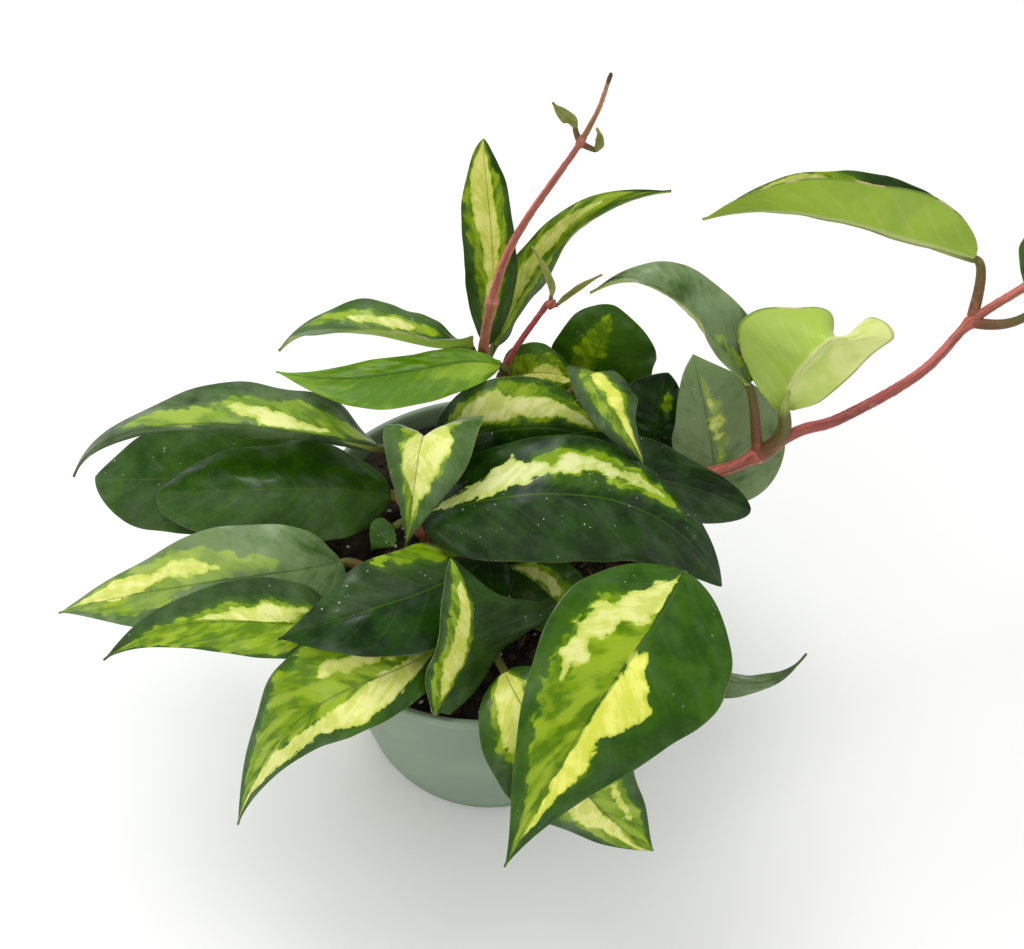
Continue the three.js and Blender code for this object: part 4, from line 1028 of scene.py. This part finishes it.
def strewn(bm, kind, count):
    """Crumbs of one kind, scattered over the soil."""
    pick = random.Random(kind * 100 + count)
    wide = inner_radius(SOIL_TOP) - CRUMB_MARGIN
    for _ in range(count):
        spot = soil_surface(wide * math.sqrt(pick.random()), pick.uniform(0, FULL_TURN))
        big = CRUMBS[kind]["size"] * pick.uniform(SMALLEST_CRUMB, 1)
        shape = Matrix.Rotation(pick.uniform(0, 6), 3, "Z")
        shape = shape @ Matrix.Rotation(pick.uniform(-CRUMB_TILT, CRUMB_TILT), 3, "X")
        stretch = Vector((big * pick.uniform(1, LONGEST_CRUMB), big, big * CRUMBS[kind]["flat"]))
        crumb(bm, kind, pick.random(), spot, shape, stretch)


def fibres(bm, count):
    """Thin roots and coir fibres that lie over the soil."""
    pick = random.Random(count)
    wide = inner_radius(SOIL_TOP) - FIBRE_MARGIN
    for _ in range(count):
        reach, turn = wide * math.sqrt(pick.random()), pick.uniform(0, FULL_TURN)
        path = []
        for step in range(FIBRE_POINTS):
            spot = soil_surface(reach, turn)
            path.append(spot + Vector((0, 0, FIBRE_LIFT + FIBRE_ARCH * math.sin(step))))
            reach = min(max(reach + pick.uniform(-FIBRE_SWING, FIBRE_SWING), 1), wide)
            turn += pick.uniform(0.4, 1.6) / (reach + 3)
        tube(bm, path, [FIBRE_RADIUS] * FIBRE_POINTS, FIBRE_SIDES, lambda row: (FIBRE, 0.5, 0))


def make_soil(settings):
    """The soil, with bark, peat, perlite and fibres strewn over it."""
    bm = new_mesh()
    wide = inner_radius(SOIL_TOP) - SOIL_GAP
    low = inner_radius(FLOOR) - SOIL_INSET

    def place(row, column, vertex):
        turn = FULL_TURN * (column % SOIL_COLUMNS) / SOIL_COLUMNS
        if row == 0:
            return Vector((0, 0, FLOOR + SOIL_BED)) * MM
        if row == 1:
            return Vector((low * math.cos(turn), low * math.sin(turn), FLOOR + SOIL_BED)) * MM
        return soil_surface(wide * (SOIL_ROWS - row) / (SOIL_ROWS - 2), turn) * MM

    skin(bm, SOIL_ROWS, SOIL_COLUMNS, place)
    strewn(bm, BARK, settings.bark)
    strewn(bm, PEAT, settings.peat)
    strewn(bm, PERLITE, settings.perlite)
    fibres(bm, settings.fibres)
    finished(bm, "potting_soil", "soil", "soil", ["soil"])


# Materials


class Value:
    """A node's output; sums on values add the Math nodes that work them out."""

    def __init__(self, finish, socket):
        self.finish = finish
        self.socket = socket

    def math(self, operation, *others):
        inputs = dict(enumerate((self, *others)))
        return self.finish.node("ShaderNodeMath", {"operation": operation}, inputs)

    def __add__(self, other):
        return self.math("ADD", other)

    __radd__ = __add__

    def __mul__(self, other):
        return self.math("MULTIPLY", other)

    __rmul__ = __mul__

    def __sub__(self, other):
        return self.math("SUBTRACT", other)

    def __rsub__(self, other):
        return (self * -1).math("ADD", other)

    def __abs__(self):
        return self.math("ABSOLUTE")

    def between(self, low, high):
        """0 where the value is at low, 1 at high, with a smooth step between."""
        inputs = {"Value": self, "From Min": low, "From Max": high}
        return self.finish.node("ShaderNodeMapRange", {"interpolation_type": "SMOOTHSTEP"}, inputs)


class Finish:
    """A material under construction."""

    def __init__(self, name, settings):
        self.material = bpy.data.materials.new(name)
        self.material.use_nodes = True
        self.tree = self.material.node_tree
        self.shader = self.tree.nodes["Principled BSDF"]
        for socket, value in settings.items():
            self.shader.inputs[socket].default_value = value

    def node(self, kind, settings=None, inputs=None, output=0):
        """A node of any kind: its settings first, then its sockets' values or links."""
        node = self.tree.nodes.new(kind)
        for key, value in (settings or {}).items():
            setattr(node, key, value)
        for key, value in (inputs or {}).items():
            if isinstance(value, Value):
                self.tree.links.new(value.socket, node.inputs[key])
            else:
                node.inputs[key].default_value = value
        return Value(self, node.outputs[output])

    def feed(self, **links):
        """Links values to the shader's sockets of those names, and gives the finished material."""
        for socket, value in links.items():
            self.tree.links.new(value.socket, self.shader.inputs[socket.replace("_", " ").title()])
        return self.material

    def attribute(self, name, output="Fac"):
        return self.node("ShaderNodeAttribute", {"attribute_name": name}, output=output)

    def parts(self, vector):
        """The three numbers of a vector."""
        split = self.node("ShaderNodeSeparateXYZ", None, {0: vector})
        return [Value(self, socket) for socket in split.socket.node.outputs]

    def layer(self, name):
        """The three numbers of a vector layer."""
        return self.parts(self.attribute(name, "Vector"))

    def vector(self, x, y, z):
        return self.node("ShaderNodeCombineXYZ", None, {0: x, 1: y, 2: z})

    def place(self):
        return self.node("ShaderNodeTexCoord", output="Object")

    def noise(self, where, scale, detail=2.0, roughness=0.5):
        inputs = {"Vector": where, "Scale": scale, "Detail": detail, "Roughness": roughness}
        return self.node("ShaderNodeTexNoise", None, inputs)

    def spots(self, where, scale, output="Distance"):
        """Round cells: the distance to a cell's middle, or its own random Color."""
        return self.node("ShaderNodeTexVoronoi", None, {"Vector": where, "Scale": scale}, output)

    def colour(self, share, first, second):
        """The first colour where share is 0 and the second where it is 1."""
        first, second = [item if isinstance(item, Value) else (*item, 1) for item in (first, second)]
        return self.node("ShaderNodeMix", {"data_type": "RGBA"}, {0: share, 6: first, 7: second}, 2)

    def coats(self, colour, *coats):
        """The colour under coats laid on in turn, each a mask and a screen colour."""
        for mask, tone in coats:
            colour = self.colour(mask, colour, shade(*tone))
        return colour

    def bump(self, height, distance, strength=1.0):
        inputs = {"Height": height, "Distance": distance, "Strength": strength}
        return self.node("ShaderNodeBump", None, inputs)


def shade(red, green, blue):
    """A screen colour as the linear colour that shaders use."""
    return tuple((part / 255 / 12.92) if part <= 10 else ((part / 255 + 0.055) / 1.055) ** 2.4
                 for part in (red, green, blue))


def blade_pattern(finish):
    """What both kinds of blade read: places on the blade, and streaks along its side veins."""
    u, across, side = finish.layer("blade")
    blade = SimpleNamespace(half=abs(across), upper=side.between(-0.05, 0.1))
    blade.seed, blade.pale, blade.warm = finish.layer("look")
    blade.vein = u - blade.half * VEIN_SLANT
    streaks = finish.vector(blade.vein * 26, blade.half * 3, blade.seed * 40)
    threads = finish.vector(blade.vein * 80, blade.half * 12, blade.seed * 70)
    blade.streak = finish.noise(streaks, 1, 3, 0.6)
    blade.fine = finish.noise(threads, 1, 3, 0.65)
    return blade


def vein_lines(phase, half, start):
    """Thin lines along the side veins, which fade out near the edge."""
    lines = abs(phase.math("FRACT") - 0.5)
    return lines.between(start, 0.5) * (1 - half.between(0.6, 0.95))


def leaf_pattern(finish):
    """What the variegated leaf also reads: broken patch edges, clouds, painted sheen, veins and flecks."""
    blade = blade_pattern(finish)
    place = finish.place()
    bays = finish.noise(place, 210, 2.5, 0.5)
    cells = finish.vector(blade.vein * 30, blade.half * 5, blade.seed * 50)
    blade.cells = finish.spots(cells, 1, "Color")
    jag = (bays - 0.5) * 0.36 + (blade.cells - 0.5) * 0.08 + (blade.fine - 0.5) * 0.04
    blade.cream = finish.attribute("cream") + jag
    blade.lime = finish.attribute("lime") + jag * 1.2
    blade.soft = (blade.streak + (bays - 0.5) * 0.8).between(0.35, 0.65)
    blade.patch = finish.noise(place, 120, 3, 0.6)
    blade.tint = finish.noise(place, 30, 2)
    blade.clouds = finish.noise(place, 75, 3, 0.6)
    # Painted sheen: grey-green for the lights' reflection, as strong as each half's layer says, in clouds
    blade.bloom = finish.attribute("painted_sheen") * (blade.clouds + (blade.streak - 0.5) * 0.4).between(0.2, 0.6)
    panels = finish.vector(blade.vein * 13, blade.half * 2.6, blade.seed * 30)
    blade.panels = finish.noise(panels, 1, 1.5, 0.4)
    blade.veins = vein_lines(blade.vein * SIDE_VEINS + blade.seed, blade.half, 0.38)
    blade.rib = 1 - blade.half.between(0.008, 0.028)
    rare = finish.noise(place, 50, 2).between(0.46, 0.6)
    blade.flecks = finish.noise(place, 800, 2.5, 0.6).between(0.7, 0.74) * rare
    blade.grain = finish.noise(place, 1000, 2)
    return blade


def leaf_greens(finish, blade):
    """The green, lighter in streaks and round the patches, under a painted grey-green sheen."""
    clumps = blade.patch.between(0.3, 0.7)
    mid = finish.colour(clumps, shade(36, 74, 2), shade(58, 98, 4))
    dark = finish.colour(clumps, shade(8, 32, 2), shade(30, 64, 8))
    depth = finish.attribute("deep") + (blade.tint - 0.5) * 0.5
    return finish.coats(
        finish.colour(depth.between(0.1, 0.9), mid, dark),
        (blade.streak.between(0.55, 0.8) * 0.3, (52, 84, 18)),
        (blade.lime.between(-0.22, 0.02) * 0.6, (64, 104, 2)),
        # Painted sheen over the green
        (blade.bloom, (122, 143, 98)))


def leaf_limes(finish, blade):
    """The lime of the patches, brighter in panels between the veins."""
    bright = (blade.panels + (blade.cells - 0.5) * 0.12).between(0.46, 0.62)
    return finish.coats(
        finish.colour(blade.soft, shade(82, 118, 0), shade(116, 148, 2)),
        (bright * 0.75, (150, 176, 22)),
        # Painted sheen over the lime, weaker
        (blade.bloom * 0.6, (158, 176, 108)))


def leaf_creams(finish, blade):
    """The cream of the patches, from nearly white to yellow, with a greener rim."""
    whites = finish.colour(blade.soft, shade(186, 196, 112), shade(212, 216, 156))
    yellows = finish.colour(blade.soft, shade(218, 224, 70), shade(240, 240, 104))
    rim = finish.colour(blade.warm, shade(170, 190, 80), shade(178, 200, 40))
    creams = finish.colour(blade.warm, whites, yellows)
    return finish.colour(blade.cream.between(0.09, 0.0) * 0.8, creams, rim)


def leaf_top(finish, blade):
    """The upper side: patches on green, with soft veins, the rib's line, flecks and a thin edge."""
    top = finish.colour(
        blade.lime.between(-0.03, 0.04), leaf_greens(finish, blade), leaf_limes(finish, blade))
    top = finish.colour(blade.cream.between(-0.012, 0.02), top, leaf_creams(finish, blade))
    return finish.coats(
        top,
        (blade.veins * 0.035, (130, 150, 84)),
        (blade.rib * 0.5, (70, 98, 20)),
        (blade.flecks * 0.85, (212, 218, 196)),
        (blade.half.between(0.975, 0.995) * 0.4, (92, 112, 62)))


def leaf_underside(finish, blade):
    """The pale underside, with a lighter rib and a darker margin that is tan in places."""
    margin = blade.half.between(0.94, 0.985)
    return finish.coats(
        finish.colour(blade.pale, shade(126, 162, 30), shade(212, 220, 138)),
        (blade.clouds.between(0.42, 0.62) * 0.55, (162, 190, 62)),
        (blade.veins * 0.1, (206, 214, 140)),
        ((1 - blade.half.between(0.03, 0.1)) * 0.6, (226, 230, 160)),
        (margin * 0.8, (98, 126, 40)),
        (margin * blade.patch.between(0.5, 0.58) * 0.8, (206, 184, 138)))


def leaf_material():
    """A waxy variegated leaf, glossier in broad panels."""
    finish = Finish("leaf", {"Specular IOR Level": 0.08, "Coat Roughness": 0.2})
    blade = leaf_pattern(finish)
    colour = finish.colour(blade.upper, leaf_underside(finish, blade), leaf_top(finish, blade))
    rough = 0.34 + (blade.tint - 0.5) * 0.16 + (1 - blade.upper) * 0.2 + blade.flecks * 0.2
    coat = (blade.panels + (blade.clouds - 0.5) * 0.6).between(0.4, 0.75) * 0.4 + 0.08
    height = (blade.streak - 0.5) * 0.25 + (blade.patch - 0.5) * 1.3 + (blade.grain - 0.5) * 0.1
    height = height - blade.veins * 0.12 - blade.rib * 0.5
    return finish.feed(base_color=colour, roughness=rough, coat_weight=coat,
                       normal=finish.bump(height, 0.0004, 0.7))


def young_material(name, low, high, rib_tone, edge_tone):
    """A fresh glossy leaf, green all over, with a darker rib and a tinted edge."""
    finish = Finish(name, {"Specular IOR Level": 0.4, "Coat Weight": 0.12, "Coat Roughness": 0.25})
    blade = blade_pattern(finish)
    place = finish.place()
    clouds = finish.noise(place, 60, 3, 0.6)
    grain = finish.noise(place, 900, 2)
    lime = finish.attribute("lime") + (blade.fine - 0.5) * 0.3 + (blade.streak - 0.5) * 0.3
    veins = vein_lines(blade.vein * SIDE_VEINS, blade.half, 0.36)
    rib = 1 - blade.half.between(0.02, 0.06)
    mottle = (blade.streak + (clouds - 0.5)).between(0.3, 0.7)
    colour = finish.coats(
        finish.colour(mottle, shade(*low), shade(*high)),
        (lime.between(-0.1, 0.12) * 0.75, (156, 188, 44)),
        (veins * 0.15, high),
        (rib * 0.7, rib_tone),
        (blade.half.between(0.93, 0.99) * 0.6, edge_tone),
        ((1 - blade.upper) * 0.45, (172, 196, 92)))
    height = (clouds - 0.5) * 0.5 + (grain - 0.5) * 0.1 - rib * 0.5 - veins * 0.15
    rough = 0.32 + (clouds - 0.5) * 0.2
    return finish.feed(base_color=colour, roughness=rough, normal=finish.bump(height, 0.0004, 0.8))


def bright_leaf():
    """The youngest big leaf's material."""
    return young_material("young_leaf", (92, 140, 0), (130, 172, 8), (64, 104, 2), (130, 160, 40))


def brown_leaflet():
    """The material of the leaflets at the vines' tips."""
    return young_material("leaflet", (104, 112, 44), (146, 150, 72), (150, 106, 70), (108, 66, 40))


def stem_material():
    """Stem skin: tone from the look layer, darker lines along it, painted shade down two sides, fine
    wrinkles.
    """
    finish = Finish("stem", {"Specular IOR Level": 0.35})
    u, first, second = finish.layer("blade")
    tone, collar, knot = finish.layer("look")
    place = finish.place()
    blotch = finish.noise(place, 170, 3, 0.6)
    lines = finish.noise(finish.vector(u * 9, first * 2.4, second * 2.4), 1.6, 4, 0.65)
    stripes = lines.between(0.5, 0.6)
    olive = finish.colour(stripes, shade(172, 122, 74), shade(120, 86, 48))
    rose = finish.colour(stripes, shade(212, 118, 106), shade(146, 78, 62))
    crimson = finish.colour(stripes, shade(180, 56, 74), shade(124, 38, 46))
    colour = finish.colour(tone.between(0.1, 0.9), olive, rose)
    specks = finish.spots(place, 900).between(0.22, 0.12) * blotch.between(0.45, 0.6)
    colour = finish.coats(
        finish.colour(tone.between(1.0, 2.0), colour, crimson),
        (tone.between(0, -0.8), (220, 164, 132)),
        # Painted shade: darker down two opposite sides of the stem, broken up by the blotches
        ((abs(first) + (blotch - 0.5)).between(0.62, 0.9) * 0.5, (104, 68, 44)),
        (blotch.between(0.58, 0.75) * 0.4, (214, 150, 128)),
        (knot * 0.35, (196, 92, 82)),
        (collar.between(0.75, 0.98) * 0.7, (224, 186, 152)),
        (specks * 0.5, (84, 48, 36)),
        (u.between(0.972, 0.984) * tone.between(-0.7, -0.9), (92, 60, 34)))
    grain = finish.noise(place, 1300, 3, 0.6)
    height = (grain - 0.5) * 0.6 + (blotch - 0.5) * 0.6 + (lines - 0.5) * 0.8
    rough = 0.46 + (blotch - 0.5) * 0.24
    return finish.feed(base_color=colour, roughness=rough, normal=finish.bump(height, 0.0005, 0.9))


def stalk_material():
    """A leaf stalk: olive brown, greener towards the blade, with fine lines along it."""
    finish = Finish("stalk", {"Specular IOR Level": 0.35})
    u, first, second = finish.layer("blade")
    place = finish.place()
    blotch = finish.noise(place, 240, 3, 0.6)
    lines = finish.noise(finish.vector(u * 3, first * 2.6, second * 2.6), 1.8, 3, 0.6)
    colour = finish.coats(
        finish.colour(u.between(0.1, 0.7), shade(112, 74, 44), shade(96, 100, 40)),
        (lines.between(0.45, 0.65) * 0.6, (84, 62, 34)),
        (blotch.between(0.55, 0.75) * 0.45, (166, 134, 84)),
        (u.between(0.12, 0.0) * 0.7, (176, 92, 78)),
        (u.between(0.7, 0.86) * 0.85, (158, 176, 84)))
    grain = finish.noise(place, 1500, 2)
    height = (grain - 0.5) * 0.5 + (blotch - 0.5) * 0.5 + (lines - 0.5) * 0.8
    rough = 0.46 + (blotch - 0.5) * 0.24
    return finish.feed(base_color=colour, roughness=rough, normal=finish.bump(height, 0.0004, 0.9))


def pot_material():
    """Soft grey-green plastic: faint clouds and turning lines, fine moulded grain, a few scuffs."""
    settings = bpy.context.scene.wax_plant
    finish = Finish("pot_plastic", {"Specular IOR Level": 0.4})
    place = finish.place()
    height = finish.parts(place)[2]
    cloud = finish.noise(place, 40, 3)
    grain = finish.noise(place, 1800, 2)
    rings = finish.noise(finish.vector(0, 0, height * 900), 1, 3, 0.7)
    scuffs = finish.noise(place, 260, 4, 0.75).between(0.66, 0.78)
    # Darker towards the bottom, within 12 mm of the pot's base, broken up by the clouds
    low_darkening = height.between(0.012, 0.0) * cloud.between(0.35, 0.75)
    colour = finish.coats(
        finish.colour(cloud.between(0.3, 0.7), settings.pot_colour, settings.pot_clouds),
        ((rings - 0.5) * 0.5, (132, 150, 132)),
        (scuffs * 0.2, (150, 164, 148)),
        (low_darkening * 0.2, (92, 98, 82)))
    rough = 0.46 + (cloud - 0.5) * 0.14 + scuffs * 0.12
    bump = finish.bump(grain * 0.6 + rings * 0.6, 0.0001, 0.6)
    return finish.feed(base_color=colour, roughness=rough, normal=bump)


def soil_material():
    """Damp potting mix: dark peat, red-brown bark, white perlite and tan fibres, told apart by kind."""
    finish = Finish("soil", {"Specular IOR Level": 0.25})
    kind, tone, _ = finish.layer("look")
    place = finish.place()
    lumps = finish.noise(place, 140, 5, 0.7)
    specks = finish.noise(place, 700, 3, 0.7)
    colour = finish.coats(
        finish.colour(lumps.between(0.35, 0.7), shade(20, 16, 13), shade(50, 39, 29)),
        (specks.between(0.6, 0.75) * 0.5, (98, 76, 52)))
    bark = finish.coats(
        finish.colour(tone, shade(44, 33, 24), shade(84, 64, 46)),
        (specks.between(0.4, 0.65) * 0.6, (34, 24, 17)))
    peat = finish.colour(tone, shade(24, 18, 13), shade(58, 42, 28))
    perlite = finish.colour(specks.between(0.4, 0.7), shade(226, 224, 214), shade(186, 180, 164))
    fibre = shade(146, 112, 72)
    for number, look in ((BARK, bark), (PEAT, peat), (PERLITE, perlite), (FIBRE, fibre)):
        colour = finish.colour(kind.between(number - 0.5, number - 0.4), colour, look)
    height = lumps * 1.2 + specks * 0.6
    rough = 0.88 + (specks - 0.5) * 0.2
    return finish.feed(base_color=colour, roughness=rough, normal=finish.bump(height, 0.0015, 1))


def floor_material():
    """A plain pale floor."""
    finish = Finish("floor", {"Specular IOR Level": 0.1})
    cloud = finish.noise(finish.place(), 3, 2)
    colour = finish.colour(cloud, (0.86, 0.86, 0.86), (0.9, 0.9, 0.9))
    rough = 0.9 + (cloud - 0.5) * 0.1
    return finish.feed(base_color=colour, roughness=rough)


MAKERS = {
    "leaf": leaf_material,
    "young_leaf": bright_leaf,
    "leaflet": brown_leaflet,
    "stem": stem_material,
    "stalk": stalk_material,
    "pot": pot_material,
    "soil": soil_material,
    "floor": floor_material,
}


@functools.cache
def material(name):
    """The shared material of a kind, made the first time it is asked for."""
    return MAKERS[name]()


# Stage


def make_floor(size):
    """The floor, just under the pot."""
    bm = bmesh.new()
    bmesh.ops.create_grid(bm, x_segments=2, y_segments=2, size=size / 2)
    mesh = as_mesh(bm, "floor")
    mesh.materials.append(material("floor"))
    placed("floor", mesh)


def area_light(name, place, size, power):
    """A soft square light that points at the plant."""
    lamp = bpy.data.lights.new(name, "AREA")
    lamp.size = size
    lamp.energy = power
    light = placed(name, lamp)
    light.location = place
    light.rotation_euler = (Vector(LIGHT_AIM) - Vector(place)).to_track_quat("-Z", "Y").to_euler()


def make_lights(key, fill):
    """A soft light above and behind, one from the left front, and even light from all round."""
    area_light("key", KEY_PLACE, KEY_SIZE, key)
    area_light("side", SIDE_PLACE, SIDE_SIZE, key * SIDE_SHARE)
    world = bpy.data.worlds.new("studio")
    world.use_nodes = True
    background = world.node_tree.nodes["Background"]
    background.inputs["Color"].default_value = (1, 1, 1, 1)
    background.inputs["Strength"].default_value = fill
    bpy.context.scene.world = world


def make_camera():
    """The camera at the photograph's angle and distance."""
    view = bpy.data.cameras.new("camera")
    view.sensor_fit = "HORIZONTAL"
    view.sensor_width = SENSOR_WIDTH
    view.lens = FOCAL_LENGTH * SENSOR_WIDTH / PHOTO_WIDTH
    view.clip_start = 0.01
    camera = placed("camera", view)
    back = Vector((0, -math.cos(CAMERA_HEIGHT), math.sin(CAMERA_HEIGHT)))
    camera.location = CAMERA_AIM + back * CAMERA_DISTANCE
    camera.rotation_euler = (math.radians(90) - CAMERA_HEIGHT, 0, 0)
    bpy.context.scene.camera = camera


# Settings


class PlantSettings(bpy.types.PropertyGroup):
    """What a user may change about the pot, the soil and the stage."""

    pot_colour: bpy.props.FloatVectorProperty(
        name="Pot", description="Colour of the pot's plastic", subtype="COLOR",
        default=shade(113, 131, 110), min=0, max=1)
    pot_clouds: bpy.props.FloatVectorProperty(
        name="Pot clouds", description="Colour of the faint clouds in the pot's plastic", subtype="COLOR",
        default=shade(123, 141, 119), min=0, max=1)
    bark: bpy.props.IntProperty(
        name="Bark", description="Number of bark crumbs on the soil", default=260, min=0)
    peat: bpy.props.IntProperty(
        name="Peat", description="Number of peat crumbs on the soil", default=420, min=0)
    perlite: bpy.props.IntProperty(
        name="Perlite", description="Number of white perlite crumbs on the soil", default=130, min=0)
    fibres: bpy.props.IntProperty(
        name="Fibres", description="Number of coir fibres on the soil", default=36, min=0)
    key_light: bpy.props.FloatProperty(
        name="Key light", description="Power of the big soft light above the plant",
        default=4.6, min=0, unit="POWER")
    fill_light: bpy.props.FloatProperty(
        name="Fill light", description="Brightness of the even light from all sides",
        default=0.85, min=0)
    floor_size: bpy.props.FloatProperty(
        name="Floor", description="Length of the floor's sides", default=6.0, min=1, unit="LENGTH")


# Operators


class WAXPLANT_OT_pot(bpy.types.Operator):
    """Makes the nursery pot"""

    bl_idname = "waxplant.pot"
    bl_label = "Pot"

    def execute(self, context):
        make_pot()
        return {"FINISHED"}


class WAXPLANT_OT_soil(bpy.types.Operator):
    """Makes the soil with its bark and perlite"""

    bl_idname = "waxplant.soil"
    bl_label = "Soil"

    def execute(self, context):
        make_soil(context.scene.wax_plant)
        return {"FINISHED"}


class WAXPLANT_OT_stems(bpy.types.Operator):
    """Makes the vines and stems with their young leaflets"""

    bl_idname = "waxplant.stems"
    bl_label = "Stems"

    def execute(self, context):
        for name, stem in STEMS.items():
            make_stem(name, stem)
        return {"FINISHED"}


class WAXPLANT_OT_leaves(bpy.types.Operator):
    """Makes every leaf with its stalk"""

    bl_idname = "waxplant.leaves"
    bl_label = "Leaves"

    def execute(self, context):
        for name in LEAVES:
            make_leaf(name)
        return {"FINISHED"}


class WAXPLANT_OT_stage(bpy.types.Operator):
    """Sets the floor, the lights and the camera"""

    bl_idname = "waxplant.stage"
    bl_label = "Stage"

    def execute(self, context):
        settings = context.scene.wax_plant
        make_floor(settings.floor_size)
        make_lights(settings.key_light, settings.fill_light)
        make_camera()
        context.scene.view_settings.view_transform = "Standard"
        return {"FINISHED"}


class WAXPLANT_PT_panel(bpy.types.Panel):
    """The plant's buttons and settings"""

    bl_idname = "WAXPLANT_PT_panel"
    bl_label = "Wax Plant"
    bl_space_type = "VIEW_3D"
    bl_region_type = "UI"
    bl_category = "Wax Plant"

    def draw(self, context):
        for name in PlantSettings.__annotations__:
            self.layout.prop(context.scene.wax_plant, name)
        for operator in OPERATORS:
            self.layout.operator(operator.bl_idname)


OPERATORS = (
    WAXPLANT_OT_pot,
    WAXPLANT_OT_soil,
    WAXPLANT_OT_stems,
    WAXPLANT_OT_leaves,
    WAXPLANT_OT_stage,
)
CLASSES = (PlantSettings, *OPERATORS, WAXPLANT_PT_panel)


def register():
    for kind in CLASSES:
        bpy.utils.register_class(kind)
    bpy.types.Scene.wax_plant = bpy.props.PointerProperty(type=PlantSettings)


def unregister():
    del bpy.types.Scene.wax_plant
    for kind in reversed(CLASSES):
        bpy.utils.unregister_class(kind)


def main():
    """Makes the whole plant."""
    register()
    bpy.ops.waxplant.pot()
    bpy.ops.waxplant.soil()
    bpy.ops.waxplant.stems()
    bpy.ops.waxplant.leaves()
    bpy.ops.waxplant.stage()


if __name__ == "__main__":
    main()
